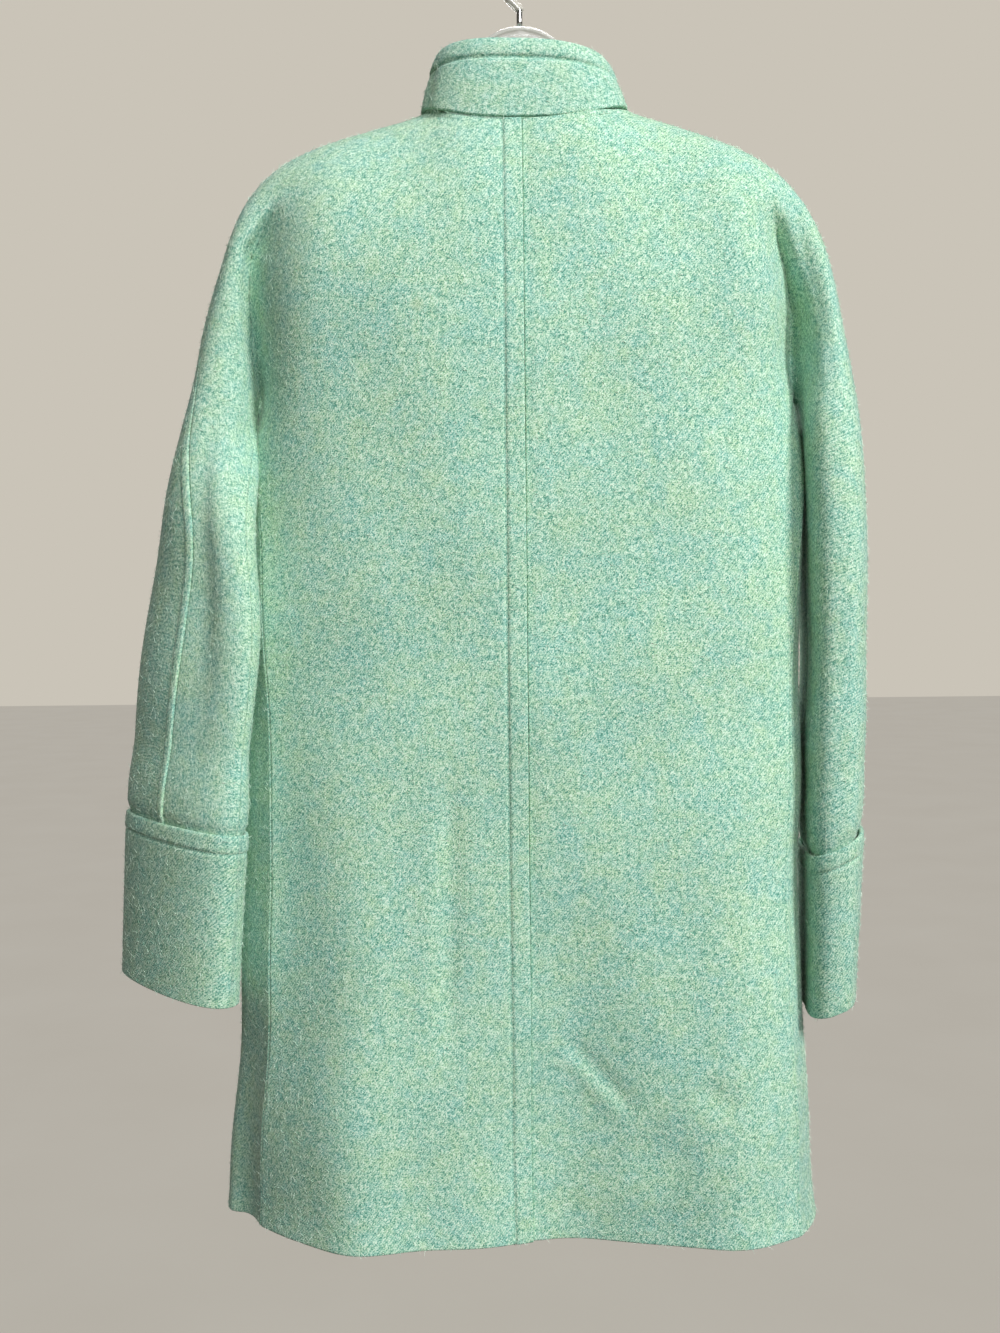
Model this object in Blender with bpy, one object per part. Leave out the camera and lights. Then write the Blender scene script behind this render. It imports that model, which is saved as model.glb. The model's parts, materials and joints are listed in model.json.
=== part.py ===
"""Cocoon coat of felted wool, hanging by the hook of a clear moulded hanger.

Metres, +Z up. The coat's back faces -Y, its front +Y, and the wearer's right side is +X. The origin is the
inside of the hook's top, where a rail bears. Each quarter of the coat is cut in one with half of its sleeve,
so the only seams are centre back, shoulder and over-arm, side and underarm, neck and cuffs.
"""
import math
from collections import namedtuple

import bpy
from mathutils import Vector

# Cloth
WALL = 0.003
COLLAR_WALL = 0.005
CUFF_WALL = 0.003
SEAM_GAP = 0.0003

# Body
HEM_Z = -1.027
UNDERARM_Z = -0.382
UNDERARM_LEFT = 0.210
UNDERARM_RIGHT = 0.2145
SECTION_POWER = {-1: 2.6, 1: 3.2}
LAP_GAP = 0.0014
LAP_FADE = 2.1
YOKE_ROUND_CENTRE = 0.35

# Neck and collar
NECK_POWER = 2.8
NECK_LEFT = 0.0765
NECK_RIGHT = 0.0825
NECK_BACK = 0.052
NECK_FRONT = 0.066
NECK_POINT_Z = -0.150
NECK_BACK_Z = -0.168
NECK_FRONT_Z = -0.204
COLLAR_LEFT = 0.0635
COLLAR_RIGHT = 0.0668
COLLAR_BACK = 0.049
COLLAR_FRONT = 0.052
COLLAR_TOP_Z = -0.1085
COLLAR_DROP = 0.012
COLLAR_BOW = 0.0015
COLLAR_LIFT = 0.0019
COLLAR_LIFT_SLOPED = 0.0034

# Sleeves: where round the back half, from the underarm (0) to the outer line (1), the fold and the dent lie
FOLD_END = 0.8
DENT_AT = 0.37
DENT_HALF = 0.10

# Cuffs: each laps over the sleeve's end, with a padded edge above its stitching
CUFF_HEIGHT = 0.130
CUFF_LAP = 0.030
CUFF_EASE = 0.0009
CUFF_EDGE = 0.015
CUFF_EDGE_RAISE = 0.0011
CUFF_STITCH_SINK = 0.0004

# Hanger and hook
CROWN_Z = -0.0787
ARCH_RADIUS = 0.045
ARCH_TURN = math.radians(78)
LEG_LENGTH = 0.0174
BEND_RADIUS = 0.022
SHOULDER_SLOPE = math.radians(17.3)
ARM_LENGTH = 0.121
FLANGE_HALF = 0.005
FLANGE_CROWN = 0.0015
FLANGE_DEEP = 0.0045
WEB_HALF = 0.0015
WEB_DEEP = 0.014
BOSS_HALF = 0.0045
BOSS_REACH = 0.007
WIRE_RADIUS = 0.00225
VINYL_WALL = 0.001
LOOP_RADIUS = 0.0215
LOOP_START = math.radians(180)
LOOP_END = math.radians(-28)
STEM_TOP_Z = -0.0665
STEM_PULL = 0.005
SWING_PULL = 0.037

# Mesh steps
RING_STEPS = 2
ARM_STEPS = 2
YOKE_ROWS = 8
NECK_COLUMNS = 5
SHOULDER_COLUMNS = 7
COLLAR_ROWS = 4
COLLAR_LAP_COLUMNS = 2
CUFF_COLUMNS = 28
FINE_STEPS = 120
HANGER_STEP = 0.007
STEM_STEPS = 2
SWING_STEPS = 7
LOOP_STEPS = 22
WIRE_SIDES = 8

# Horizontal rings of the body, from the hem up: half widths, depths and the side seam's angle from the back
BodyRing = namedtuple("BodyRing", "z left right back front seam")
BODY = (
    BodyRing(HEM_Z, 0.2460, 0.2275, 0.084, 0.082, 60),
    BodyRing(-0.950, 0.2395, 0.2225, 0.085, 0.082, 61),
    BodyRing(-0.840, 0.2315, 0.2160, 0.085, 0.082, 61),
    BodyRing(-0.700, 0.2265, 0.2150, 0.085, 0.082, 62),
    BodyRing(-0.560, 0.2212, 0.2165, 0.084, 0.081, 66),
    BodyRing(-0.460, 0.2135, 0.2170, 0.083, 0.080, 76),
    BodyRing(UNDERARM_Z, UNDERARM_LEFT, UNDERARM_RIGHT, 0.080, 0.078, 90),
)

# Soft folds that hang from the body and open towards the hem; a push is outward
BodyFold = namedtuple("BodyFold", "face x half push top")
BACK, FRONT = -1, 1
BODY_FOLDS = (
    BodyFold(BACK, -0.230, 0.024, -0.022, -0.80),
    BodyFold(BACK, -0.138, 0.045, 0.021, -0.55),
    BodyFold(BACK, 0.030, 0.055, -0.018, -0.60),
    BodyFold(BACK, 0.168, 0.045, 0.017, -0.62),
    BodyFold(FRONT, -0.125, 0.045, 0.010, -0.58),
    BodyFold(FRONT, 0.150, 0.045, 0.012, -0.62),
)

# Sections of each arm from the shoulder's end to the cuff's edge. "in" is the underarm seam, "out" the arm's
# outer line, back and front how far it rounds out, fold the valley at the armhole, hollow a dent along the
# sleeve, over the over-arm seam's place (1 on the outer line, less is round to the back), oval how far the
# section has turned from the shoulder's shape into the sleeve's. The last CUFF_SECTIONS rows are the cuff's.
CUFF_SECTIONS = 3
ArmSection = namedtuple("ArmSection", "in_x in_y in_z out_x out_y out_z back front fold hollow over oval")
ARMS = {
    -1: (
        ArmSection(-UNDERARM_LEFT, 0, UNDERARM_Z, -.1890, 0, -.1850, .050, .050, .010, 0, 1, 0),
        ArmSection(-.2145, 0, -.377, -.2130, 0, -.213, .050, .048, .018, 0, 1, .3),
        ArmSection(-.2185, 0, -.378, -.2325, 0, -.260, .049, .045, .014, 0, 1, .6),
        ArmSection(-.2205, -.004, -.387, -.2470, -.001, -.319, .045, .039, .005, .001, .80, .9),
        ArmSection(-.2175, -.026, -.410, -.2575, -.006, -.396, .040, .024, 0, .003, .55, 1),
        ArmSection(-.2118, -.060, -.470, -.2768, -.010, -.468, .034, .024, 0, .005, .44, 1),
        ArmSection(-.2086, -.068, -.546, -.2964, -.009, -.545, .028, .024, 0, .005, .47, 1),
        ArmSection(-.2123, -.072, -.623, -.3064, -.008, -.618, .026, .024, 0, .002, .49, 1),
        ArmSection(-.2224, -.072, -.708, -.3148, -.007, -.698, .025, .024, 0, 0, .49, 1),
        ArmSection(-.2281, -.071, -.774, -.3180, -.006, -.763, .025, .024, 0, 0, .49, 1),
        ArmSection(-.2331, -.070, -.840, -.3201, -.006, -.829, .025, .024, 0, 0, .49, 1),
    ),
    1: (
        ArmSection(UNDERARM_RIGHT, 0, UNDERARM_Z, .1900, 0, -.185, .050, .050, .010, 0, 1, 0),
        ArmSection(.2180, 0, -.377, .2130, 0, -.212, .051, .050, .018, 0, 1, .3),
        ArmSection(.2225, -.002, -.378, .2345, -.002, -.260, .053, .052, .014, 0, 1, .6),
        ArmSection(.2255, -.007, -.386, .2495, -.007, -.319, .055, .054, .005, 0, 1, .9),
        ArmSection(.2255, -.014, -.404, .2570, -.014, -.392, .058, .056, 0, 0, 1, 1),
        ArmSection(.2225, -.022, -.470, .2612, -.022, -.465, .060, .058, 0, 0, 1, 1),
        ArmSection(.2225, -.025, -.550, .2627, -.025, -.545, .059, .058, 0, 0, 1, 1),
        ArmSection(.2230, -.025, -.640, .2630, -.025, -.634, .055, .054, 0, 0, 1, 1),
        ArmSection(.2260, -.025, -.733, .2590, -.025, -.713, .048, .048, 0, 0, 1, 1),
        ArmSection(.2265, -.025, -.797, .2572, -.025, -.780, .047, .047, 0, 0, 1, 1),
        ArmSection(.2260, -.025, -.859, .2550, -.025, -.845, .046, .046, 0, 0, 1, 1),
    ),
}

# Rows of a cuff from its padded edge down: part of the cuff's height, and lift from the stitching's sunk
# line (0) to the padded edge's crown (1)
CuffRow = namedtuple("CuffRow", "part lift")
EDGE_PART = CUFF_EDGE / CUFF_HEIGHT
CUFF_ROWS = (
    CuffRow(0.0, 0.4),
    CuffRow(0.15 * EDGE_PART, 1.0),
    CuffRow(0.6 * EDGE_PART, 1.0),
    CuffRow(0.9 * EDGE_PART, 0.3),
    CuffRow(EDGE_PART, 0.0),
    CuffRow(1.2 * EDGE_PART, 0.1),
    CuffRow(0.3, 0.1),
    CuffRow(0.5, 0.1),
    CuffRow(0.75, 0.1),
    CuffRow(1.0, 0.1),
)

# Each material's linear colour and how it takes light
Finish = namedtuple("Finish", "colour roughness metallic transmission")
FINISHES = {
    "felted_wool": Finish((0.41, 0.64, 0.49), 0.95, 0.0, 0.0),
    "felted_wool_collar": Finish((0.43, 0.66, 0.51), 0.95, 0.0, 0.0),
    "felted_wool_cuff": Finish((0.40, 0.62, 0.48), 0.95, 0.0, 0.0),
    "clear_polystyrene": Finish((0.90, 0.93, 0.92), 0.08, 0.0, 0.9),
    "chromed_wire": Finish((0.78, 0.78, 0.77), 0.15, 1.0, 0.0),
    "clear_vinyl": Finish((0.92, 0.90, 0.88), 0.2, 0.0, 0.9),
}

# Cloth grids are kept as points by (row, column)
Grid = namedtuple("Grid", "points rows first last")


def blend(first, last, part):
    """The value a part of the way from first to last."""
    return first + (last - first) * part


def ease(part):
    """Part, held between 0 and 1, with level ends."""
    part = min(1.0, max(0.0, part))
    return part * part * (3.0 - 2.0 * part)


def read_table(rows, place):
    """The row at a fractional place in a table, on a smooth curve through its rows."""
    low = min(int(place), len(rows) - 2)
    part = place - low
    before, first = rows[max(low - 1, 0)], rows[low]
    last, after = rows[low + 1], rows[min(low + 2, len(rows) - 1)]
    values = []
    for a, b, c, d in zip(before, first, last, after):
        bend = (2 * a - 5 * b + 4 * c - d) * part ** 2 + (3 * (b - c) + d - a) * part ** 3
        values.append(b + 0.5 * ((c - a) * part + bend))
    return type(first)(*values)


def space_evenly(path, count):
    """Count + 1 points at even distances along a path."""
    lengths = [0.0]
    for here, there in zip(path, path[1:]):
        lengths.append(lengths[-1] + (there - here).length)
    points = []
    span = 0
    for step in range(count + 1):
        want = lengths[-1] * step / count
        while span < len(path) - 2 and lengths[span + 1] < want:
            span += 1
        part = (want - lengths[span]) / (lengths[span + 1] - lengths[span])
        points.append(path[span].lerp(path[span + 1], part))
    return points


def body_point(ring, side, angle):
    """A point of a body ring; the angle runs from centre back (0) round a side to centre front (pi)."""
    across, along = math.sin(angle), math.cos(angle)
    half = ring.right if side > 0 else ring.left
    face = BACK if along > 0 else FRONT
    depth = ring.back if face == BACK else ring.front
    x = side * half * abs(across) ** (2 / SECTION_POWER[side])
    out = depth * abs(along) ** (2 / SECTION_POWER[side])
    for fold in BODY_FOLDS:
        if fold.face == face:
            open_part = ease((fold.top - ring.z) / (fold.top - HEM_Z))
            near = math.exp(-((x - fold.x) / fold.half) ** 2)
            out += fold.push * open_part * near * ease(2 * abs(along))
    return Vector((x, face * out, ring.z))


def neck_oval(half, depth, angle, z):
    """A point of a flat-backed oval round the neck; the angle runs from back or front (0) to side."""
    across, along = max(0.0, math.sin(angle)), max(0.0, math.cos(angle))
    return Vector((half * across ** (2 / NECK_POWER), depth * along ** (2 / NECK_POWER), z))


def neck_point(side, face, angle):
    """A point of the neck seam; the angle runs from centre back or front (0) to the neck point (pi / 2)."""
    depth = NECK_BACK if face == BACK else NECK_FRONT
    low = NECK_BACK_Z if face == BACK else NECK_FRONT_Z
    half = NECK_RIGHT if side > 0 else NECK_LEFT
    return neck_oval(side * half, face * depth, angle, blend(low, NECK_POINT_Z, math.sin(angle) ** 2))


def arm_point(section, turn):
    """A point of an arm's section; turn runs over the back to the outer line (1), over the front to 2."""
    inner = Vector((section.in_x, section.in_y, section.in_z))
    outer = Vector((section.out_x, section.out_y, section.out_z))
    part = turn if turn <= 1 else 2 - turn
    rise = blend(math.sin(part * math.pi / 2), (1 - math.cos(part * math.pi)) / 2, section.oval)
    chord = outer - inner
    backward = Vector((0, -1, 0))
    backward -= chord * (backward.dot(chord) / chord.length_squared)
    backward.normalize()
    valley = section.fold * math.sin(math.pi * min(1.0, part / FOLD_END))
    if turn <= 1:
        dent = section.hollow * math.exp(-((part - DENT_AT) / DENT_HALF) ** 2)
        out = section.back * math.sin(part * math.pi) - valley - dent
    else:
        out = valley - section.front * math.sin(part * math.pi)
    return inner + chord * rise + backward * out


def body_row(ring, side, face, columns):
    """One ring of a quarter, from the centre line to the side seam."""
    seam = math.radians(ring.seam)
    centre = 0.0 if face == BACK else math.pi
    path = [body_point(ring, side, blend(centre, seam, step / FINE_STEPS)) for step in range(FINE_STEPS + 1)]
    return space_evenly(path, columns)


def top_row(side, face):
    """The top edge of a quarter: along the neck seam, then along the shoulder to its end."""
    quarter = math.pi / 2
    neck = [neck_point(side, face, quarter * step / NECK_COLUMNS) for step in range(NECK_COLUMNS + 1)]
    tip = ARMS[side][0]
    end = Vector((tip.out_x, tip.out_y, tip.out_z))
    shoulder = [neck[-1].lerp(end, step / SHOULDER_COLUMNS) for step in range(1, SHOULDER_COLUMNS + 1)]
    return neck + shoulder


def yoke_point(low, high, part, roundness, swell, face):
    """A point between the underarm ring and the top edge, rounding over towards the shoulder."""
    rise = blend(part, math.sin(part * math.pi / 2), roundness)
    lean = blend(part ** 2, 1 - math.cos(part * math.pi / 2), roundness)
    point = low.lerp(high, rise)
    point.y = blend(low.y, high.y, lean) + face * swell * math.sin(part * math.pi)
    return point


def cuff_place(side, part):
    """The place in an arm's table at a part of the way down its cuff."""
    return len(ARMS[side]) - CUFF_SECTIONS + (CUFF_SECTIONS - 1) * part


def quarter_grid(side, face):
    """A quarter of the coat: body rows below the underarm, and rows above it that run on down the sleeve."""
    top = top_row(side, face)
    body_columns = len(top) - 1
    ring_rows = (len(BODY) - 1) * RING_STEPS
    points = {}
    for row in range(ring_rows + 1):
        ring = read_table(BODY, row / RING_STEPS)
        for column, point in enumerate(body_row(ring, side, face, body_columns)):
            points[row - ring_rows, column] = point
    arm = ARMS[side]
    deepest = abs(points[0, 0].y)
    swell_most = arm[0].back if face == BACK else arm[0].front
    neck_end = body_columns - SHOULDER_COLUMNS
    for column in range(body_columns):
        low = points[0, column]
        roundness = blend(YOKE_ROUND_CENTRE, 1.0, min(1.0, column / neck_end))
        swell = swell_most * max(0.0, 1 - (low.y / deepest) ** 2)
        for row in range(1, YOKE_ROWS + 1):
            part = row / YOKE_ROWS
            points[row, column] = yoke_point(low, top[column], part, roundness, swell, face)
    sleeve_end = cuff_place(side, CUFF_LAP / CUFF_HEIGHT)
    arm_columns = int(sleeve_end * ARM_STEPS)
    for step in range(arm_columns + 1):
        section = read_table(arm, sleeve_end * step / arm_columns)
        for row in range(YOKE_ROWS + 1):
            part = row / YOKE_ROWS
            turn = section.over * part if face == BACK else 2 - (2 - section.over) * part
            points[row, body_columns + step] = arm_point(section, turn)
    rows = range(-ring_rows, YOKE_ROWS)
    last = {row: body_columns + (arm_columns if row >= 0 else 0) for row in rows}
    return Grid(points, rows, 0, last)


def lap_offset(point, side, edge, wall):
    """How far a front moves out, or in on the left, to lap its other half; it fades past the lap's edge."""
    fade = (LAP_FADE * edge - abs(point.x)) / ((LAP_FADE - 1) * edge)
    return side * ease(fade) * (wall + LAP_GAP) / 2


def lap_front(grid, other, side):
    """A front with one more column past the centre, on the other front's line, moved clear of it."""
    points = {key: point.copy() for key, point in grid.points.items()}
    for row in range(grid.rows[0], grid.rows[-1] + 2):
        points[row, -1] = other.points[row, 1].copy()
        edge = abs(points[row, -1].x)
        for (this_row, _), point in points.items():
            if this_row == row:
                point.y += lap_offset(point, side, edge, WALL)
    return Grid(points, grid.rows, -1, grid.last)


def grid_faces(grid, flip, wrap=0):
    """The grid's quads as tuples of keys; wrap is the number of columns of a closed loop."""
    faces = []
    for row in grid.rows:
        for column in range(grid.first, grid.last[row]):
            after = (column + 1) % wrap if wrap else column + 1
            face = ((row, column), (row, after), (row + 1, after), (row + 1, column))
            faces.append(face[::-1] if flip else face)
    return faces


def place_key(point):
    """A point rounded, so that the same place on two pieces is found again."""
    return tuple(round(value, 6) for value in point)


def add_normals(normals, points, faces):
    """Add each face's area normal to the places of its corners."""
    for face in faces:
        a, b, c, d = (points[key] for key in face)
        area = (c - a).cross(d - b)
        for corner in (a, b, c, d):
            key = place_key(corner)
            normals[key] = normals.get(key, Vector()) + area


def rim_edges(faces):
    """The edges that belong to one face only, in that face's direction."""
    edges = {(face[i], face[(i + 1) % 4]) for face in faces for i in range(4)}
    return [edge for edge in edges if edge[::-1] not in edges]


def make_material(name):
    """A Principled material with the finish of that name."""
    finish = FINISHES[name]
    material = bpy.data.materials.new(name)
    material.use_nodes = True
    shader = material.node_tree.nodes["Principled BSDF"]
    shader.inputs["Base Color"].default_value = (*finish.colour, 1.0)
    shader.inputs["Roughness"].default_value = finish.roughness
    shader.inputs["Metallic"].default_value = finish.metallic
    shader.inputs["Transmission Weight"].default_value = finish.transmission
    return material


def add_object(name, corners, faces, material):
    """One closed, smooth-shaded piece."""
    mesh = bpy.data.meshes.new(name)
    mesh.from_pydata([tuple(corner) for corner in corners], [], faces)
    mesh.materials.append(material)
    mesh.shade_smooth()
    piece = bpy.data.objects.new(name, mesh)
    bpy.context.scene.collection.objects.link(piece)
    return piece


def add_wall(name, points, faces, normals, wall, material, raised=None):
    """A wall round a grid of mid-wall points, drawn in by half a seam gap at its rims."""
    rims = sorted(rim_edges(faces))
    inward = {}
    for start, end in rims:
        up = normals[place_key(points[start])] + normals[place_key(points[end])]
        pull = up.cross(points[end] - points[start]).normalized()
        for key in (start, end):
            inward[key] = inward.get(key, Vector()) + pull
    keys = sorted({key for face in faces for key in face})
    index = {key: number for number, key in enumerate(keys)}
    outer, inner = [], []
    for key in keys:
        normal = normals[place_key(points[key])].normalized()
        place = points[key].copy()
        if key in inward:
            place += inward[key].normalized() * SEAM_GAP / 2
        outer.append(place + normal * (wall / 2 + (raised[key] if raised else 0.0)))
        inner.append(place - normal * wall / 2)
    count = len(keys)
    solid = [tuple(index[key] for key in face) for face in faces]
    solid += [tuple(count + index[key] for key in reversed(face)) for face in faces]
    solid += [(index[end], index[start], count + index[start], count + index[end]) for start, end in rims]
    return add_object(name, outer + inner, solid, material)


def make_quarters(material):
    """The four quarters; normals are shared at the seams so that their rims lie side by side."""
    names = {
        (-1, BACK): "back_left", (1, BACK): "back_right",
        (-1, FRONT): "front_left", (1, FRONT): "front_right",
    }
    plain = {quarter: quarter_grid(*quarter) for quarter in names}
    normals = {}
    pieces = []
    for (side, face), name in names.items():
        grid = plain[side, face]
        if face == FRONT:
            grid = lap_front(grid, plain[-side, face], side)
        faces = grid_faces(grid, side * face > 0)
        add_normals(normals, grid.points, faces)
        pieces.append((name, grid.points, faces))
    for name, points, faces in pieces:
        add_wall(name, points, faces, normals, WALL, material)


def collar_point(side, face, angle, part):
    """A point of the collar, part of the way from the neck seam to its top edge."""
    lift = blend(COLLAR_LIFT, COLLAR_LIFT_SLOPED, math.sin(2 * angle))
    low = neck_point(side, face, angle) + Vector((0, 0, lift))
    depth = COLLAR_BACK if face == BACK else COLLAR_FRONT
    drop = COLLAR_DROP * (1 + face * math.cos(angle)) / 2
    half = COLLAR_RIGHT if side > 0 else COLLAR_LEFT
    high = neck_oval(side * half, face * depth, angle, COLLAR_TOP_Z - drop)
    point = low.lerp(high, part)
    outward = Vector((point.x, point.y, 0)).normalized()
    return point + outward * COLLAR_BOW * math.sin(part * math.pi)


def make_collar(material):
    """The standing collar, one doubled strip round the neck whose right end laps over its left."""
    steps = 2 * NECK_COLUMNS
    lap_angle = math.pi / 2 * COLLAR_LAP_COLUMNS / steps
    ends = 2 * steps + COLLAR_LAP_COLUMNS
    around = range(-ends, ends + 1)
    points = {}
    for column in around:
        end = 1 if column > 0 else -1
        turn = math.pi / 2 * abs(column) / steps
        past = turn > math.pi
        side = -end if past else end
        face = BACK if turn <= math.pi / 2 else FRONT
        angle = turn if face == BACK else abs(math.pi - turn)
        for row in range(COLLAR_ROWS + 1):
            point = collar_point(side, face, angle, row / COLLAR_ROWS)
            edge = abs(collar_point(side, FRONT, lap_angle, row / COLLAR_ROWS).x)
            if face == FRONT:
                point.y += lap_offset(point, end, edge, COLLAR_WALL)
            points[row, column] = point
    rows = range(COLLAR_ROWS)
    grid = Grid(points, rows, around[0], {row: around[-1] for row in rows})
    faces = grid_faces(grid, False)
    normals = {}
    add_normals(normals, points, faces)
    add_wall("collar", points, faces, normals, COLLAR_WALL, material)


def make_cuff(name, side, material):
    """A cuff: the sleeve's own sections moved out past its wall, with a raised edge above the stitching."""
    rows = range(len(CUFF_ROWS) - 1)
    middle, raised = {}, {}
    for row, (part, lift) in enumerate(CUFF_ROWS):
        section = read_table(ARMS[side], cuff_place(side, part))
        for column in range(CUFF_COLUMNS):
            middle[row, column] = arm_point(section, 2 * column / CUFF_COLUMNS)
            raised[row, column] = blend(-CUFF_STITCH_SINK, CUFF_EDGE_RAISE, lift)
    grid = Grid(middle, rows, 0, {row: CUFF_COLUMNS for row in rows})
    faces = grid_faces(grid, side > 0, CUFF_COLUMNS)
    normals = {}
    add_normals(normals, middle, faces)
    move = (WALL + CUFF_WALL) / 2 + CUFF_EASE
    points = {key: point + normals[place_key(point)].normalized() * move for key, point in middle.items()}
    moved = {}
    add_normals(moved, points, faces)
    add_wall(name, points, faces, moved, CUFF_WALL, material, raised)


def bend_path(start, heading, bends, step):
    """Points in the XZ plane from a start: each bend is (radius, turn), or (0, length) for a straight."""
    points = [start.copy()]
    for radius, amount in bends:
        length = abs(radius * amount) if radius else amount
        count = max(1, round(length / step))
        for _ in range(count):
            turn = amount / count if radius else 0.0
            heading += turn / 2
            chord = length / count
            points.append(points[-1] + Vector((math.cos(heading), 0, math.sin(heading))) * chord)
            heading += turn / 2
    return points


def path_frames(path):
    """For each point of a path in the XZ plane, the direction across it in that plane."""
    ups = []
    for number in range(len(path)):
        along = path[min(number + 1, len(path) - 1)] - path[max(number - 1, 0)]
        ups.append(Vector((-along.z, 0, along.x)).normalized())
    return ups


def sweep(name, path, profiles, material):
    """A solid swept along a path in the XZ plane; each profile is a loop of (y, up) pairs."""
    corners = []
    for point, up, profile in zip(path, path_frames(path), profiles):
        corners += [point + Vector((0, y, 0)) + up * rise for y, rise in profile]
    count = len(profiles[0])
    last = len(corners) - count
    faces = []
    for ring in range(0, last, count):
        for side in range(count):
            after = (side + 1) % count
            faces.append((ring + side, ring + after, ring + count + after, ring + count + side))
    faces.append(tuple(range(count - 1, -1, -1)))
    faces.append(tuple(range(last, last + count)))
    return add_object(name, corners, faces, material)


def make_hanger(material):
    """The hanger: an arch inside the collar and two arms under the shoulders, in one moulded T section."""
    bends = (
        (ARCH_RADIUS, -ARCH_TURN), (0, LEG_LENGTH),
        (BEND_RADIUS, ARCH_TURN - SHOULDER_SLOPE), (0, ARM_LENGTH),
    )
    right = bend_path(Vector((0, 0, CROWN_Z)), 0.0, bends, HANGER_STEP)
    left = [Vector((-point.x, 0, point.z)) for point in reversed(right[1:])]
    path = left + right
    profiles = []
    for point in path:
        boss = math.exp(-(point.x / BOSS_REACH) ** 2) if point.z > CROWN_Z - ARCH_RADIUS / 2 else 0.0
        web = blend(WEB_HALF, BOSS_HALF, boss)
        profiles.append((
            (0, 0), (-FLANGE_HALF, -FLANGE_CROWN), (-FLANGE_HALF, -FLANGE_DEEP), (-web, -FLANGE_DEEP),
            (-web, -WEB_DEEP), (web, -WEB_DEEP), (web, -FLANGE_DEEP), (FLANGE_HALF, -FLANGE_DEEP),
            (FLANGE_HALF, -FLANGE_CROWN)))
    sweep("hanger", path, profiles, material)


def hook_path():
    """The wire's middle line: up the stem, out to the left, and round over the top to its tip."""
    loop_centre_z = -LOOP_RADIUS + WIRE_RADIUS + VINYL_WALL + SEAM_GAP
    root_z = CROWN_Z + SEAM_GAP
    stem = [Vector((0, 0, blend(root_z, STEM_TOP_Z, step / STEM_STEPS))) for step in range(STEM_STEPS + 1)]
    loop = []
    for step in range(LOOP_STEPS + 1):
        angle = blend(LOOP_START, LOOP_END, step / LOOP_STEPS)
        out, up = LOOP_RADIUS * math.cos(angle), LOOP_RADIUS * math.sin(angle)
        loop.append(Vector((out, 0, loop_centre_z + up)))
    pull = stem[-1] + Vector((0, 0, STEM_PULL))
    lead = loop[0] - Vector((math.sin(LOOP_START), 0, -math.cos(LOOP_START))) * SWING_PULL
    swing = []
    for step in range(1, SWING_STEPS):
        part = step / SWING_STEPS
        outer = stem[-1].lerp(pull, part).lerp(pull.lerp(lead, part), part)
        inner = pull.lerp(lead, part).lerp(lead.lerp(loop[0], part), part)
        swing.append(outer.lerp(inner, part))
    return stem + swing + loop


def make_hook(wire_material, vinyl_material):
    """The wire hook and the clear tube that covers it but for its root and its tip."""
    path = hook_path()
    ring = [2 * math.pi * side / WIRE_SIDES for side in range(WIRE_SIDES)]
    wire = tuple((WIRE_RADIUS * math.cos(angle), WIRE_RADIUS * math.sin(angle)) for angle in ring)
    sweep("hook", path, [wire] * len(path), wire_material)
    covered = path[STEM_STEPS:-1]
    tube_radius = WIRE_RADIUS + SEAM_GAP + VINYL_WALL / 2
    points = {}
    for row, (point, up) in enumerate(zip(covered, path_frames(path)[STEM_STEPS:-1])):
        for side, angle in enumerate(ring):
            across = Vector((0, -math.cos(angle), 0)) + up * math.sin(angle)
            points[row, side] = point + across * tube_radius
    rows = range(len(covered) - 1)
    grid = Grid(points, rows, 0, {row: WIRE_SIDES for row in rows})
    faces = grid_faces(grid, False, WIRE_SIDES)
    normals = {}
    add_normals(normals, points, faces)
    add_wall("hook_sleeve", points, faces, normals, VINYL_WALL, vinyl_material)


def main():
    for leftover in list(bpy.data.objects):
        bpy.data.objects.remove(leftover)
    make_quarters(make_material("felted_wool"))
    make_collar(make_material("felted_wool_collar"))
    cuff_cloth = make_material("felted_wool_cuff")
    make_cuff("cuff_left", -1, cuff_cloth)
    make_cuff("cuff_right", 1, cuff_cloth)
    make_hanger(make_material("clear_polystyrene"))
    make_hook(make_material("chromed_wire"), make_material("clear_vinyl"))


main()
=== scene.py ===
# %% [markdown]
# # A cocoon coat of felted wool on a clear hanger
# The coat hangs by the hook of a moulded hanger and is seen from behind. Its solids come from the packed
# CAD model, which is the frame of this lesson: every piece made here stands where its solid stands, in
# metres, with +Z up, the coat's back towards -Y and the wearer's right side towards +X.

# %% Load the frame
import json
import math
from collections import namedtuple

import bpy
import numpy as np
from mathutils import Matrix, Vector

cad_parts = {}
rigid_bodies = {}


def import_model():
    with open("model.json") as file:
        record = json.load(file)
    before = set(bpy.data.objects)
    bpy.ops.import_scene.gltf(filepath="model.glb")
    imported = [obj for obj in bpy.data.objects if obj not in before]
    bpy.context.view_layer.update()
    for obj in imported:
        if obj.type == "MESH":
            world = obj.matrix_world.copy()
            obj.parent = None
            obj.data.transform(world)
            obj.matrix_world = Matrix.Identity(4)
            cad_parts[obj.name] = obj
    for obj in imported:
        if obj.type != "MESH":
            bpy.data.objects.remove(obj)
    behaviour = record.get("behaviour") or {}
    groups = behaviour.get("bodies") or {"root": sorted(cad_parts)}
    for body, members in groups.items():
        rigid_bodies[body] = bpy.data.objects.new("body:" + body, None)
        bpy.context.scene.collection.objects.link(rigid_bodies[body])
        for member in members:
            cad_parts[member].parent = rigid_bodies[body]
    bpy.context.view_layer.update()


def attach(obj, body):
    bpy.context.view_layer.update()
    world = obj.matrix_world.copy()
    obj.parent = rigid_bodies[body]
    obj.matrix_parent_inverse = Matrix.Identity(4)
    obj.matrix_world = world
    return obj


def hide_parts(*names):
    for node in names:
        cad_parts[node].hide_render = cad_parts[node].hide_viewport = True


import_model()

MM = 0.001

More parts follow.
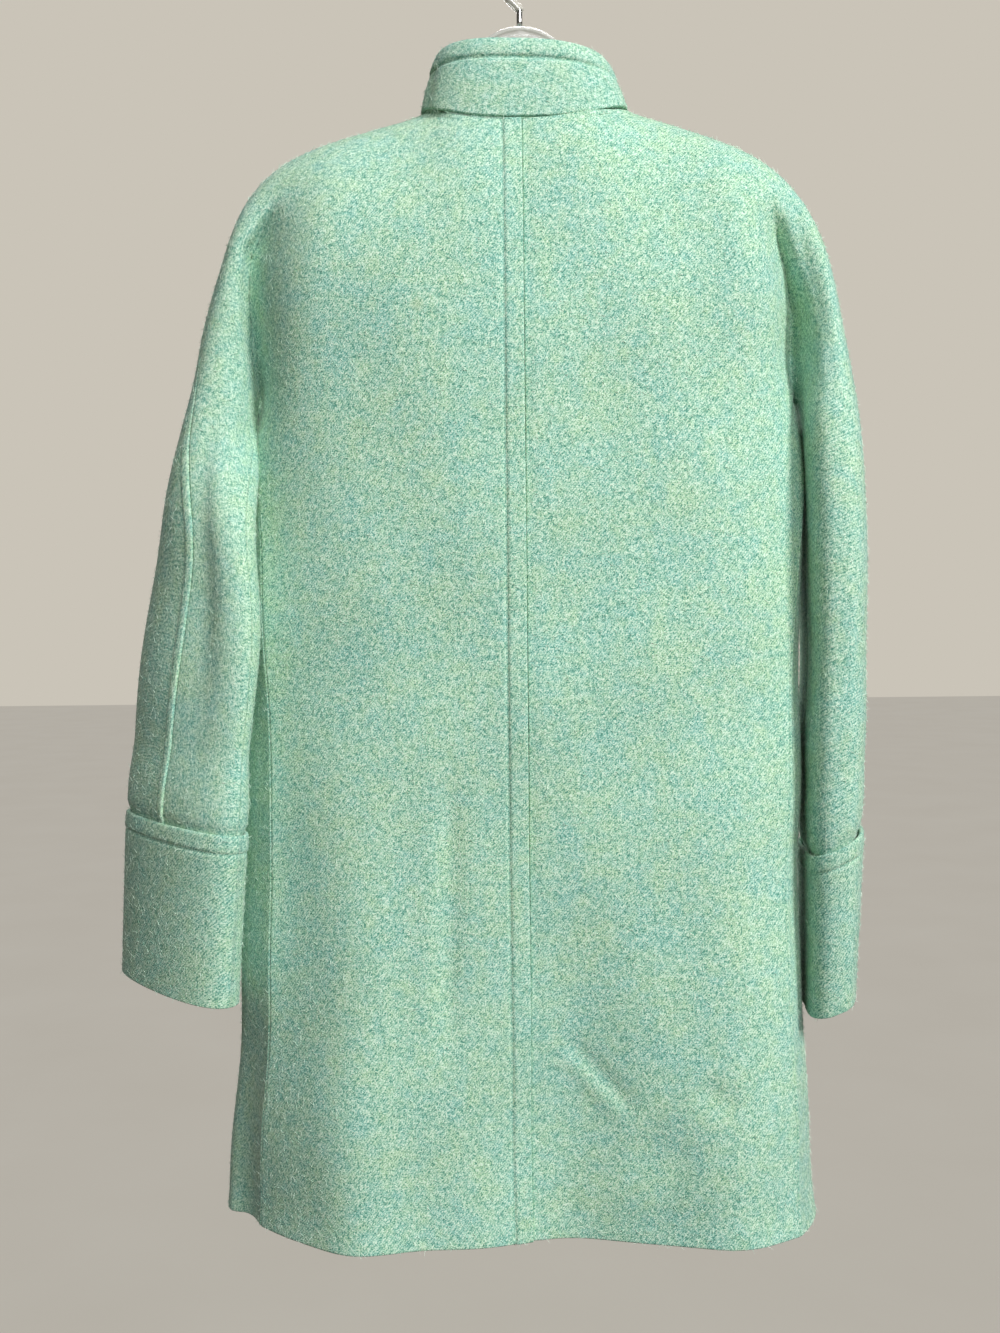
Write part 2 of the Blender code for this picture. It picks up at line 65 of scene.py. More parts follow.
# %% [markdown]
# ## Curves through tables
# A coat has few driving sizes: its width at some heights and the shape of its arms. They are kept as short
# tables, and a smooth curve through the rows gives every line between them. Subdividing a rough mesh could
# do the same, but a curve lets the seams be found again at exact distances, which stitching needs.


# %% Blending and reading tables
def mix(first, last, part):
    """The value a part of the way from first to last."""
    return first + (last - first) * part


def ease(part):
    """Part, held between 0 and 1, with level ends."""
    part = np.clip(part, 0.0, 1.0)
    return part * part * (3.0 - 2.0 * part)


def bell(distance, half):
    """A soft bump, 1 in its middle."""
    return np.exp(-(distance / half) ** 2)


def read_rows(rows, places):
    """A table's columns at fractional places, on smooth curves through its rows."""
    table = np.array(rows, float)
    low = np.clip(np.asarray(places).astype(int), 0, len(rows) - 2)
    part = (places - low)[:, None]
    before, first = table[np.maximum(low - 1, 0)], table[low]
    last, after = table[low + 1], table[np.minimum(low + 2, len(rows) - 1)]
    bend = (2 * before - 5 * first + 4 * last - after) * part ** 2
    bend += (3 * (first - last) + after - before) * part ** 3
    return type(rows[0])(*(first + 0.5 * ((last - before) * part + bend)).T)


# %% Measuring paths
def run_lengths(points, axis=0):
    """Distances run along one axis of a row or grid of points."""
    steps = np.linalg.norm(np.diff(points, axis=axis), axis=-1)
    start = np.zeros_like(np.take(steps, [0], axis=axis))
    return np.concatenate((start, np.cumsum(steps, axis=axis)), axis=axis)


def at_distances(path, wanted):
    """Points of a path at the wanted distances along it."""
    run = run_lengths(path)
    return np.stack([np.interp(wanted, run, path[:, axis]) for axis in range(3)], axis=1)


# %% [markdown]
# ## The body's rings
# Below the arms the coat is a soft, flattened tube that widens to the hem. It could be a stretched cylinder,
# but each ring here is a superellipse, which is boxier, as heavy felt is. Wide folds hang from the chest and
# open towards the hem.

# %% Body tables
LEFT, RIGHT = -1, 1
BACK, FRONT = -1, 1
HEM_Z, UNDERARM_Z = -1.027, -0.382
UNDERARM_LEFT, UNDERARM_RIGHT = 0.210, 0.2145
SECTION_POWER = {LEFT: 2.2, RIGHT: 3.2}

BodyRing = namedtuple("BodyRing", "z left right back front seam")
BODY = (
    BodyRing(HEM_Z, 0.2460, 0.2275, 0.084, 0.082, 57),
    BodyRing(-0.950, 0.2395, 0.2225, 0.085, 0.082, 58),
    BodyRing(-0.840, 0.2315, 0.2160, 0.085, 0.082, 58),
    BodyRing(-0.700, 0.2265, 0.2150, 0.085, 0.082, 59),
    BodyRing(-0.560, 0.2212, 0.2165, 0.084, 0.081, 63),
    BodyRing(-0.460, 0.2135, 0.2170, 0.083, 0.080, 73),
    BodyRing(UNDERARM_Z, UNDERARM_LEFT, UNDERARM_RIGHT, 0.080, 0.078, 90),
)
BodyFold = namedtuple("BodyFold", "face x half push top")
BODY_FOLDS = (
    BodyFold(BACK, -0.230, 0.024, -0.022, -0.80),
    BodyFold(BACK, -0.138, 0.045, 0.021, -0.55),
    BodyFold(BACK, 0.030, 0.055, -0.018, -0.60),
    BodyFold(BACK, 0.168, 0.045, 0.017, -0.62),
    BodyFold(FRONT, -0.125, 0.045, 0.010, -0.58),
    BodyFold(FRONT, 0.150, 0.045, 0.012, -0.62),
)
print("body: hem width", round(BODY[0].left + BODY[0].right, 4), "folds", len(BODY_FOLDS))

# %% Body rings
FOLD_SIDE_FADE = 0.5
FINE_STEPS = 240


def ring_path(ring, side, face):
    """A body ring's points from centre back or centre front to the side seam."""
    angle = np.linspace(0.0 if face == BACK else math.pi, math.radians(ring.seam), FINE_STEPS)
    across, along = np.sin(angle), np.cos(angle)
    facing = np.where(along > 0, BACK, FRONT)
    x = side * (ring.right if side > 0 else ring.left) * np.abs(across) ** (2 / SECTION_POWER[side])
    out = np.where(along > 0, ring.back, ring.front) * np.abs(along) ** (2 / SECTION_POWER[side])
    for fold in BODY_FOLDS:
        open_part = ease((fold.top - ring.z) / (fold.top - HEM_Z)) * ease(np.abs(along) / FOLD_SIDE_FADE)
        out += np.where(facing == fold.face, fold.push * open_part * bell(x - fold.x, fold.half), 0.0)
    return np.stack((x, facing * out, np.full_like(x, ring.z)), axis=1)


hem_back = ring_path(BODY[0], LEFT, BACK)
print("hem: left half of the back reaches out to y", round(float(hem_back[:, 1].min()), 4))

# %% [markdown]
# ## The neck and the arms
# The neck seam is an oval with a flat back. Each arm is a row of sections that start as the shoulder's end
# and turn into the sleeve's tube: an inner line under the arm, an outer line over it, and how far the cloth
# rounds out between them. The coat is cut like a kimono, so the sleeve runs on from the body without a seam.
# A straight tube would be simpler, but the two sleeves hang differently: the right one is boxier and leans
# a little, and the left one is turned with its broad side to the back and pressed flatter.

# %% Neck curve
NECK_POWER = 2.8
NECK_LEFT, NECK_RIGHT = 0.0765, 0.0825
NECK_BACK, NECK_FRONT = 0.052, 0.066
NECK_POINT_Z, NECK_BACK_Z, NECK_FRONT_Z = -0.150, -0.168, -0.204
QUARTER_TURN = math.pi / 2


def neck_oval(half, depth, angle, z):
    """Points of a flat-backed oval; the angle runs from its back or front (0) to its side."""
    across, along = np.clip(np.sin(angle), 0, 1), np.clip(np.cos(angle), 0, 1)
    return np.stack((half * across ** (2 / NECK_POWER), depth * along ** (2 / NECK_POWER), z), axis=-1)


def neck_points(side, face, angle):
    """Points of the neck seam; the angle runs from centre back or front (0) to the neck point."""
    depth, low = (NECK_BACK, NECK_BACK_Z) if face == BACK else (NECK_FRONT, NECK_FRONT_Z)
    half = NECK_RIGHT if side > 0 else NECK_LEFT
    return neck_oval(side * half, face * depth, angle, mix(low, NECK_POINT_Z, np.sin(angle) ** 2))


print("neck: width", round(NECK_LEFT + NECK_RIGHT, 4), "depth", round(NECK_BACK + NECK_FRONT, 4))

# %% Arm tables
FOLD_END, DENT_AT, DENT_HALF = 0.8, 0.37, 0.10
SLEEVE_POWER, SLEEVE_LEAN = {LEFT: 2.2, RIGHT: 3.0}, {LEFT: 0.0, RIGHT: 0.15}
CUFF_SECTIONS, CUFF_HEIGHT, CUFF_LAP = 3, 0.130, 0.030

ArmSection = namedtuple("ArmSection", "in_x in_y in_z out_x out_y out_z back front fold hollow over oval")
ARMS = {
    LEFT: (
        ArmSection(-UNDERARM_LEFT, 0, UNDERARM_Z, -.1890, 0, -.1850, .050, .050, .010, 0, 1, 0),
        ArmSection(-.2122, 0, -.377, -.2130, 0, -.213, .050, .048, .018, 0, 1, .3),
        ArmSection(-.2135, 0, -.378, -.2325, 0, -.260, .049, .045, .014, 0, 1, .6),
        ArmSection(-.2143, -.004, -.387, -.2515, -.001, -.319, .045, .039, .005, .001, .80, .9),
        ArmSection(-.2135, -.026, -.410, -.2615, -.004, -.396, .036, .024, 0, .003, .55, 1),
        ArmSection(-.2118, -.064, -.470, -.2785, -.006, -.468, .028, .024, 0, .005, .44, 1),
        ArmSection(-.2086, -.074, -.546, -.2988, -.003, -.545, .021, .024, 0, .005, .47, 1),
        ArmSection(-.2123, -.078, -.623, -.3090, -.002, -.618, .019, .024, 0, .002, .49, 1),
        ArmSection(-.2224, -.078, -.708, -.3160, -.001, -.698, .019, .024, 0, 0, .49, 1),
        ArmSection(-.2281, -.077, -.774, -.3195, 0, -.763, .019, .024, 0, 0, .49, 1),
        ArmSection(-.2331, -.076, -.840, -.3225, 0, -.829, .019, .024, 0, 0, .49, 1),
    ),
    RIGHT: (
        ArmSection(UNDERARM_RIGHT, 0, UNDERARM_Z, .1900, 0, -.185, .050, .050, .010, 0, 1, 0),
        ArmSection(.2168, 0, -.377, .2130, 0, -.212, .051, .050, .018, 0, 1, .3),
        ArmSection(.2190, -.002, -.378, .2350, -.002, -.260, .053, .052, .014, 0, 1, .6),
        ArmSection(.2208, -.007, -.386, .2515, -.007, -.319, .055, .054, .005, 0, 1, .9),
        ArmSection(.2222, -.014, -.404, .2605, -.014, -.392, .058, .056, 0, 0, 1, 1),
        ArmSection(.2222, -.022, -.470, .2650, -.022, -.465, .060, .058, 0, 0, 1, 1),
        ArmSection(.2222, -.025, -.550, .2655, -.025, -.545, .059, .058, 0, 0, 1, 1),
        ArmSection(.2225, -.025, -.640, .2645, -.025, -.634, .055, .054, 0, 0, 1, 1),
        ArmSection(.2255, -.025, -.733, .2600, -.025, -.713, .048, .048, 0, 0, 1, 1),
        ArmSection(.2262, -.025, -.797, .2567, -.025, -.780, .047, .047, 0, 0, 1, 1),
        ArmSection(.2258, -.025, -.859, .2535, -.025, -.845, .046, .046, 0, 0, 1, 1),
    ),
}
print("arms: sections", {side: len(rows) for side, rows in ARMS.items()})


# %% Arm sections
def arm_points(section, turn):
    """Points of one arm's sections; the turn runs to 1 over the back and on to 2 over the front."""
    field = {name: value[:, None] for name, value in section._asdict().items()}
    inner = np.stack([section.in_x, section.in_y, section.in_z], axis=1)[:, None]
    outer = np.stack([section.out_x, section.out_y, section.out_z], axis=1)[:, None]
    side = LEFT if section.in_x[0] < 0 else RIGHT
    boxy = 2 / SLEEVE_POWER[side]
    part = np.where(turn <= 1, turn, 2 - turn)
    across, bulge = np.cos(part * math.pi), np.clip(np.sin(part * math.pi), 0, 1)
    oval_rise = (1 - np.sign(across) * np.abs(across) ** boxy) / 2
    rise = mix(np.sin(part * math.pi / 2), oval_rise, field["oval"])
    bulge = mix(bulge, bulge ** boxy, field["oval"])
    chord = outer - inner
    backward = np.array((0.0, -1.0, 0.0)) + chord * chord[..., 1:2] / (chord ** 2).sum(-1, keepdims=True)
    backward /= np.linalg.norm(backward, axis=-1, keepdims=True)
    valley = field["fold"] * np.sin(math.pi * np.minimum(1.0, part / FOLD_END)) ** 2
    dent = field["hollow"] * bell(part - DENT_AT, DENT_HALF)
    out = np.where(turn <= 1, field["back"] * bulge - valley - dent, valley - field["front"] * bulge)
    points = inner + chord * rise[..., None] + backward * out[..., None]
    points[..., 0] -= SLEEVE_LEAN[side] * field["oval"] * np.maximum(out, 0)
    return points


def cuff_place(side, part):
    """The place in an arm's table at a part of the way down its cuff."""
    return len(ARMS[side]) - CUFF_SECTIONS + (CUFF_SECTIONS - 1) * part


print("cuffs: start at row", {side: cuff_place(side, 0) for side in ARMS})

# %% [markdown]
# ## Grids that know their seams
# A quarter of the coat is one piece of felt: half the back or front, with half its sleeve. It is laid out
# as two grids that share a row, the body below the underarm and everything above it. An even grid would
# waste points, so lines lie close together at the seams and the topstitching, where thick felt bends
# sharply, and wide apart elsewhere.

# %% Grid lines
FAR = 1.0
EDGE_LINES = np.array((0, 0.5, 1.2, 2.2, 3.8)) * MM
CENTRE_STITCH, OVER_STITCH, STRIP_MIDDLE = 15 * MM, 8 * MM, 7.5 * MM
STITCH_LINES = np.array((-3.4, -2.0, -1.1, 0, 1.1, 2.0, 3.4)) * MM
NECK_STEPS, SHOULDER_STEPS, YOKE_STEPS, BODY_STEPS, LAP_STEPS = 20, 34, 52, 146, 4
ARMHOLE_STEPS, SLEEVE_STEPS, ARMHOLE_END = 80, 90, 4.2
NECK_SHARE, LAP_SHARE, NECK_LAP_TURN = 5 / 12, 1 / 12, QUARTER_TURN / 5


def between(first, last, steps):
    """Even steps from first to last, without first."""
    return np.linspace(first, last, steps + 1)[1:]


def strip_lines(stitch):
    """Distances from an edge, over its strip, to just past its topstitching."""
    return np.concatenate((EDGE_LINES, [STRIP_MIDDLE], stitch + STITCH_LINES))


CENTRE_LINES = strip_lines(CENTRE_STITCH)
TOP_LINES = np.concatenate((EDGE_LINES, OVER_STITCH + STITCH_LINES[1:]))
print("lines: at a centre edge", len(CENTRE_LINES), "below a top seam", len(TOP_LINES))


# %% Stations along rows and columns
def row_stations(length, corner):
    """Distances along a row from its centre line, with one line on the neck's corner."""
    near = between(CENTRE_LINES[-1], corner, NECK_STEPS)
    far = between(corner, length - EDGE_LINES[-1], SHOULDER_STEPS)
    return np.concatenate((CENTRE_LINES, near, far, length - EDGE_LINES[-2::-1]))


def lap_stations(lap):
    """Distances past centre front of a front's extra lines, from its edge to the last before the centre."""
    inner = between(lap - EDGE_LINES[-1], 0, LAP_STEPS)[:-1]
    return np.concatenate((lap - EDGE_LINES, inner))


def rise_stations(length):
    """Distances up a column from the underarm to the top seam."""
    middle = between(EDGE_LINES[-1], length - TOP_LINES[-1], YOKE_STEPS)
    return np.concatenate((EDGE_LINES, middle, length - TOP_LINES[-2::-1]))


# %% Body grid
def body_grid(side, face):
    """Rows from the hem to the underarm; a front starts past the centre, where it laps the other."""
    fine = np.linspace(0, len(BODY) - 1, FINE_STEPS)
    heights = np.concatenate((HEM_Z + EDGE_LINES, between(HEM_Z + EDGE_LINES[-1], UNDERARM_Z, BODY_STEPS)))
    rings = read_rows(BODY, np.interp(heights, read_rows(BODY, fine).z, fine))
    rows = []
    for values in zip(*rings):
        ring = BodyRing(*values)
        path = ring_path(ring, side, face)
        length = run_lengths(path)[-1]
        row = at_distances(path, row_stations(length, length * NECK_SHARE))
        if face == FRONT:
            other = ring_path(ring, -side, face)
            lap = lap_stations(run_lengths(other)[-1] * LAP_SHARE)
            row = np.concatenate((at_distances(other, lap), row))
        rows.append(row)
    return np.array(rows)


def top_edge(side, face):
    """The top edge's points: along the neck seam, then along the shoulder to its end."""
    angle = np.linspace(0, QUARTER_TURN, FINE_STEPS)
    neck = neck_points(side, face, angle)
    tip = ARMS[side][0]
    path = np.concatenate((neck, [(tip.out_x, tip.out_y, tip.out_z)]))
    run = run_lengths(path)
    row = at_distances(path, row_stations(run[-1], run[-2]))
    if face == FRONT:
        other = neck_points(-side, face, angle)
        lap = np.interp(NECK_LAP_TURN, angle, run_lengths(other))
        row = np.concatenate((at_distances(other, lap_stations(lap)), row))
    return row


# %% [markdown]
# ## Yoke, sleeve and lap
# Above the underarm each column climbs from the widest ring to the top edge and rounds over the shoulder;
# past the shoulder's end the columns fan round the underarm and follow the sleeve. The valley at the armhole
# starts on the yoke, and a few rounds of averaging take the corner out of the place where the two rules meet.
# Sculpting could do that too, but averaging by rule gives the same cloth each time.


# %% Yoke and sleeve columns
def yoke_column(low, high, roundness, swell, valley, face):
    """One column from the underarm ring to the top edge."""
    part = np.linspace(0, 1, FINE_STEPS)
    quarter = part * QUARTER_TURN
    rise = mix(part, np.sin(quarter), roundness)
    lean = mix(part ** 2, 1 - np.cos(quarter), roundness)
    path = low + (high - low) * rise[:, None]
    dip = valley * np.sin(math.pi * np.minimum(1, part / FOLD_END)) ** 2
    path[:, 1] = mix(low[1], high[1], lean) + face * (swell * np.sin(part * math.pi) - dip)
    return at_distances(path, rise_stations(run_lengths(path)[-1]))


def sleeve_columns(side, face):
    """Columns round the sleeve, evenly spaced down its outer line to its end inside the cuff."""
    end = cuff_place(side, CUFF_LAP / CUFF_HEIGHT)
    fine = np.linspace(0, end, FINE_STEPS)
    sections = read_rows(ARMS[side], fine)
    run = run_lengths(np.stack((sections.out_x, sections.out_y, sections.out_z), axis=1))
    turn_in = np.interp(ARMHOLE_END, fine, run)
    wanted = np.concatenate((
        np.linspace(0, turn_in, ARMHOLE_STEPS + 1), between(turn_in, run[-1], SLEEVE_STEPS)))
    section = read_rows(ARMS[side], np.interp(wanted, run, fine))
    part = np.linspace(0, 1, FINE_STEPS)[None]
    over = section.over[:, None]
    turn = over * part if face == BACK else 2 - (2 - over) * part
    return [at_distances(path, rise_stations(run_lengths(path)[-1])) for path in arm_points(section, turn)]


# %% Upper grid
YOKE_ROUND_CENTRE, VALLEY_START = 0.35, 0.74
SOFTEN_ROUNDS, ARMHOLE_REACH, UNDERARM_REACH, CORNER_REACH, SOFTEN_START = 80, 14, 9, 9, 8
NECK_CORNER = len(CENTRE_LINES) + NECK_STEPS - 1


def soften(grid, weight, axis):
    """Average a grid's points with their neighbours along one axis, where the weight says."""
    rows = np.moveaxis(grid, axis, 0)
    share = np.moveaxis(weight, axis, 0)[1:-1, :, None] / 2
    for _ in range(SOFTEN_ROUNDS):
        rows[1:-1] += share * (rows[:-2] + rows[2:] - 2 * rows[1:-1])


def upper_grid(side, face, ring):
    """Rows above the underarm, from the centre line over the yoke and down the sleeve."""
    arm = ARMS[side]
    swell_most = arm[0].back if face == BACK else arm[0].front
    share = run_lengths(ring) / run_lengths(ring)[-1]
    columns = []
    for low, high, place in list(zip(ring, top_edge(side, face), share))[:-1]:
        roundness = mix(YOKE_ROUND_CENTRE, 1, min(1, place / NECK_SHARE))
        swell = swell_most * max(0, 1 - (low[1] / ring[0, 1]) ** 2)
        valley = arm[0].fold * ease((place - VALLEY_START) / (1 - VALLEY_START))
        columns.append(yoke_column(low, high, roundness, swell, valley, face))
    joint = len(columns)
    grid = np.stack(columns + sleeve_columns(side, face), axis=1)
    grid[0, :joint + 1] = ring
    row, column = np.arange(len(grid))[:, None], np.arange(grid.shape[1])[None]
    corner = NECK_CORNER + joint - (len(row_stations(FAR, FAR / 2)) - 1)
    held_top = ease((len(grid) - 1 - row) / SOFTEN_START)
    soften(grid, ease(row / SOFTEN_START) * bell(column - joint, ARMHOLE_REACH), 1)
    soften(grid, ease(row / SOFTEN_START) * held_top * bell(column - corner, CORNER_REACH), 1)
    return grid


# %% Lapping the fronts
WALL, LAP_GAP, LAP_FADE = 0.003, 0.0014, 2.1


def lap_fronts(grid, side, wall):
    """Move a front's rows out on the right, or in on the left, so that it clears the other front."""
    x = np.abs(grid[..., 0])
    edge = x[:, :1]
    grid[..., 1] += side * ease((LAP_FADE * edge - x) / ((LAP_FADE - 1) * edge)) * (wall + LAP_GAP) / 2


# %% [markdown]
# ## Four quarters and their distances
# Each quarter's points are put in one list, with the distance of every point from its centre edge, its top
# seam, its side seam, its hem and its sleeve's end. Those distances later roll the edges, raise the lapped
# strips and sink the stitching. In metres, they also make a UV map that lies on the cloth as its threads do,
# which no automatic unwrapping would.

# %% Quarter layout
Quarter = namedtuple("Quarter", "side face points quads body upper edge top seam hem end uv")
QUARTERS = {
    "back_left": (LEFT, BACK), "back_right": (RIGHT, BACK),
    "front_left": (LEFT, FRONT), "front_right": (RIGHT, FRONT),
}


def numbered(grid):
    """The point numbers of a grid of points."""
    return np.arange(grid[..., 0].size).reshape(grid.shape[:2])


def grid_quads(index, flip):
    """The quads of a grid of point numbers."""
    corners = index[:-1, :-1], index[:-1, 1:], index[1:, 1:], index[1:, :-1]
    quads = np.stack(corners, axis=-1).reshape(-1, 4)
    return quads[:, ::-1] if flip else quads


def quarter_grids(side, face):
    """A quarter's body and upper grids, softened across the row that they share."""
    body = body_grid(side, face)
    upper = upper_grid(side, face, body[-1])
    if face == FRONT:
        lap_fronts(body, side, WALL)
        lap_fronts(upper, side, WALL)
    columns = body.shape[1]
    whole = np.concatenate((body, upper[1:, :columns]))
    off_seam = ease((columns - 1 - np.arange(columns)) / SOFTEN_START)[None]
    soften(whole, bell(np.arange(len(whole)) - len(body) + 1, UNDERARM_REACH)[:, None] * off_seam, 0)
    upper[:, :columns] = whole[len(body) - 1:]
    return whole[:len(body)], upper


# %% Quarters with their distances
def lay_out(side, face):
    """One quarter of the coat, at the middle of its wall."""
    body, upper = quarter_grids(side, face)
    columns, joint = body.shape[1], body.shape[1] - 1
    below = numbered(body)
    above = np.full(upper.shape[:2], -1)
    above[0, :columns] = below[-1]
    above[above < 0] = below.size + np.arange((above < 0).sum())

    def gather(for_body, for_upper):
        kind = for_body.shape[2:]
        values = np.empty((above.max() + 1,) + kind)
        values[above.ravel()] = for_upper.reshape((-1,) + kind)
        values[below.ravel()] = for_body.reshape((-1,) + kind)
        return values

    across_body, across_upper = run_lengths(body, 1), run_lengths(upper, 1)
    up_body, up_upper = run_lengths(body, 0), run_lengths(upper, 0)
    round_arm = np.linalg.norm(upper - body[-1, -1], axis=-1)
    round_arm[:, joint:] = up_upper[:, joint:]
    start = np.concatenate((up_body[-1], np.full(upper.shape[1] - columns, up_body[-1, -1])))
    quads = np.concatenate([grid_quads(index, side * face > 0) for index in (below, above)])
    return Quarter(
        side, face, gather(body, upper), quads, below, above,
        edge=gather(across_body, across_upper),
        top=gather(np.full_like(up_body, FAR), up_upper[-1:] - up_upper),
        seam=gather(across_body[:, -1:] - across_body, round_arm),
        hem=gather(up_body, np.full_like(up_upper, FAR)),
        end=gather(np.full_like(across_body, FAR), across_upper[:, -1:] - across_upper),
        uv=gather(np.stack((across_body * -side * face, up_body), -1),
                  np.stack((across_upper * -side * face, start + up_upper), -1)))


quarters = {name: lay_out(*where) for name, where in QUARTERS.items()}
print("quarters:", {name: (len(q.points), len(q.quads)) for name, q in quarters.items()})

# %% [markdown]
# ## The folds at the armholes
# With no armhole seam, spare cloth folds under where the arm hangs down: the back sinks beside the sleeve and
# the sleeve's edge stands over it. A modelled fold of cloth over cloth would be tangled and hidden, so a
# trough and a ridge run along one line on each side, with a soft step between them.

# %% Armhole folds
FoldPoint = namedtuple("FoldPoint", "x z")
ARMHOLE_FOLDS = {
    LEFT: (
        FoldPoint(-.1850, -.222), FoldPoint(-.2010, -.241), FoldPoint(-.2150, -.262),
        FoldPoint(-.2185, -.290), FoldPoint(-.2175, -.335), FoldPoint(-.2135, -.374),
        FoldPoint(-.2090, -.410),
    ),
    RIGHT: (
        FoldPoint(.1845, -.223), FoldPoint(.1982, -.247), FoldPoint(.2089, -.278),
        FoldPoint(.2172, -.308), FoldPoint(.2180, -.340), FoldPoint(.2157, -.382),
    ),
}
FOLD_TROUGH, FOLD_RIDGE, TROUGH_REACH, RIDGE_REACH = 0.015, 0.005, 0.017, 0.015
FOLD_STEP, FOLD_FADE, FOLD_CLEAR = {LEFT: 0.0025, RIGHT: 0.0070}, 0.045, 0.018


def fold_armhole(quarter):
    """Sink a back beside its sleeve and raise the sleeve's edge, along the line where the armhole folds."""
    line = np.array(ARMHOLE_FOLDS[quarter.side])
    steps = np.diff(line, axis=0)
    lengths = np.linalg.norm(steps, axis=1)
    place = quarter.points[:, None, ::2] - line[None, :-1]
    along = np.clip((place * steps).sum(-1) / lengths ** 2, 0, 1)
    off = place - along[..., None] * steps
    distance = np.linalg.norm(off, axis=-1)
    nearest = distance.argmin(1)
    pick = np.arange(len(nearest)), nearest
    inward = np.cross(steps[nearest], off[pick]) * -quarter.side
    signed = distance[pick] * np.where(inward > 0, 1, -1)
    run = np.concatenate(([0], np.cumsum(lengths)))
    gone = run[nearest] + along[pick] * lengths[nearest]
    fade = ease(gone / FOLD_FADE) * ease((run[-1] - gone) / FOLD_FADE)
    fade *= ease(quarter.top / FOLD_CLEAR) * ease(quarter.seam / FOLD_CLEAR)
    sunk, raised = FOLD_TROUGH * bell(signed, TROUGH_REACH), FOLD_RIDGE * bell(signed, RIDGE_REACH)
    step = FOLD_STEP[quarter.side]
    return fade * mix(-raised, sunk, ease((signed + step) / (2 * step)))


folded = {name: fold_armhole(quarter) for name, quarter in quarters.items() if quarter.face == BACK}
for name, push in folded.items():
    quarters[name].points[:, 1] += push
print("armhole folds: deepest", {name: round(float(push.max()), 4) for name, push in folded.items()})

# %% [markdown]
# ## Creases and the hang of the cloth
# Thick felt doesn't hang flat. Besides the wide folds there are soft creases where the coat has been pulled
# and carried, and a slow unevenness all over. The side seams are pressed into soft corners, and the sleeves
# stand out where the cuffs grip them. A cloth simulation would invent its own creases, so the main ones are
# listed as soft troughs and ridges between two points, and similar ones go on the sides not seen.

# %% Crease table
Crease = namedtuple("Crease", "face x0 z0 x1 z1 half push")
CREASES = (
    Crease(BACK, 0.0150, -0.8690, 0.0770, -0.9380, 0.0060, 0.0016),
    Crease(BACK, 0.0220, -0.8630, 0.0850, -0.9310, 0.0080, -0.0018),
    Crease(BACK, 0.1230, -0.9005, 0.1597, -0.9222, 0.0110, -0.0022),
    Crease(BACK, 0.0750, -0.9400, 0.1250, -0.9750, 0.0280, -0.0035),
    Crease(BACK, -0.0576, -0.6400, -0.0640, -0.9050, 0.0090, -0.0024),
    Crease(BACK, -0.0760, -0.6700, -0.0800, -0.9000, 0.0130, 0.0014),
    Crease(FRONT, -0.0650, -0.6200, -0.0800, -0.9000, 0.0110, -0.0028),
    Crease(FRONT, 0.0900, -0.7000, 0.1050, -0.9600, 0.0120, -0.0028),
    Crease(FRONT, 0.1300, -0.4200, 0.1850, -0.5000, 0.0120, -0.0026),
    Crease(FRONT, -0.1300, -0.4300, -0.1800, -0.5200, 0.0120, -0.0026),
)
Wave = namedtuple("Wave", "along_x along_z turn push")
WAVES = (
    Wave(41.0, 9.0, 0.4, 0.0007), Wave(-23.0, 31.0, 1.9, 0.0009),
    Wave(17.0, -47.0, 4.2, 0.0006), Wave(67.0, 23.0, 2.7, 0.0004),
)
CREASE_FADE = 0.3


def hang_relief(points, face_y):
    """How far creases and slow unevenness push each point out."""
    x, z = points[:, 0], points[:, 2]
    place = np.stack((x, z), 1)
    relief = sum(wave.push * np.sin(wave.along_x * x + wave.along_z * z + wave.turn) for wave in WAVES)
    for crease in CREASES:
        start = np.array((crease.x0, crease.z0))
        step = np.array((crease.x1, crease.z1)) - start
        along = ((place - start) @ step) / (step @ step)
        off = np.linalg.norm(place - start - np.clip(along, 0, 1)[:, None] * step, axis=1)
        fade = ease(along / CREASE_FADE) * ease((1 - along) / CREASE_FADE)
        relief += np.where(face_y * crease.face > 0, crease.push * fade * bell(off, crease.half), 0.0)
    return relief


# %% Shared normals
SAME_PLACE, TINY = 1e-5, 1e-12


def vertex_normals(points, quads, merged, count):
    """Normals of each piece's points, shared by points of several pieces that lie on one place."""
    normals = np.zeros((count, 3))
    for name in points:
        corners = points[name][quads[name]]
        areas = np.cross(corners[:, 2] - corners[:, 0], corners[:, 3] - corners[:, 1])
        for corner in range(4):
            np.add.at(normals, merged[name][quads[name][:, corner]], areas)
    normals /= np.maximum(np.linalg.norm(normals, axis=1, keepdims=True), TINY)
    return {name: normals[merged[name]] for name in points}


def merge_places(points):
    """For each piece's points, the number of their place among all places."""
    places = np.round(np.concatenate(list(points.values())) / SAME_PLACE).astype(int)
    numbers = np.unique(places, axis=0, return_inverse=True)[1].ravel()
    ends = np.cumsum([len(p) for p in points.values()])[:-1]
    return dict(zip(points, np.split(numbers, ends))), numbers.max() + 1


# %% Side seams and sleeve ends
SIDE_RIDGE, SIDE_REACH, SIDE_START, SIDE_FADE = 0.0045, 0.016, 0.006, 0.030
SLEEVE_PUFF, PUFF_RISE, PUFF_HOLD, PUFF_FADE = 0.0032, 0.010, 0.020, 0.045


def side_ridge(quarter):
    """How far a pressed side seam stands out as the corner between a back and a front."""
    ridge = np.zeros(len(quarter.points))
    body = quarter.body.ravel()
    below = ease((UNDERARM_Z - SIDE_START - quarter.points[body, 2]) / SIDE_FADE)
    ridge[body] = SIDE_RIDGE * below * np.exp(-quarter.seam[body] / SIDE_REACH)
    return ridge


def sleeve_puff(quarter):
    """How far a sleeve stands out above its cuff, where the cuff's edge grips it."""
    above = quarter.end - CUFF_LAP
    return SLEEVE_PUFF * ease(above / PUFF_RISE) * (1 - ease((above - PUFF_HOLD) / PUFF_FADE))


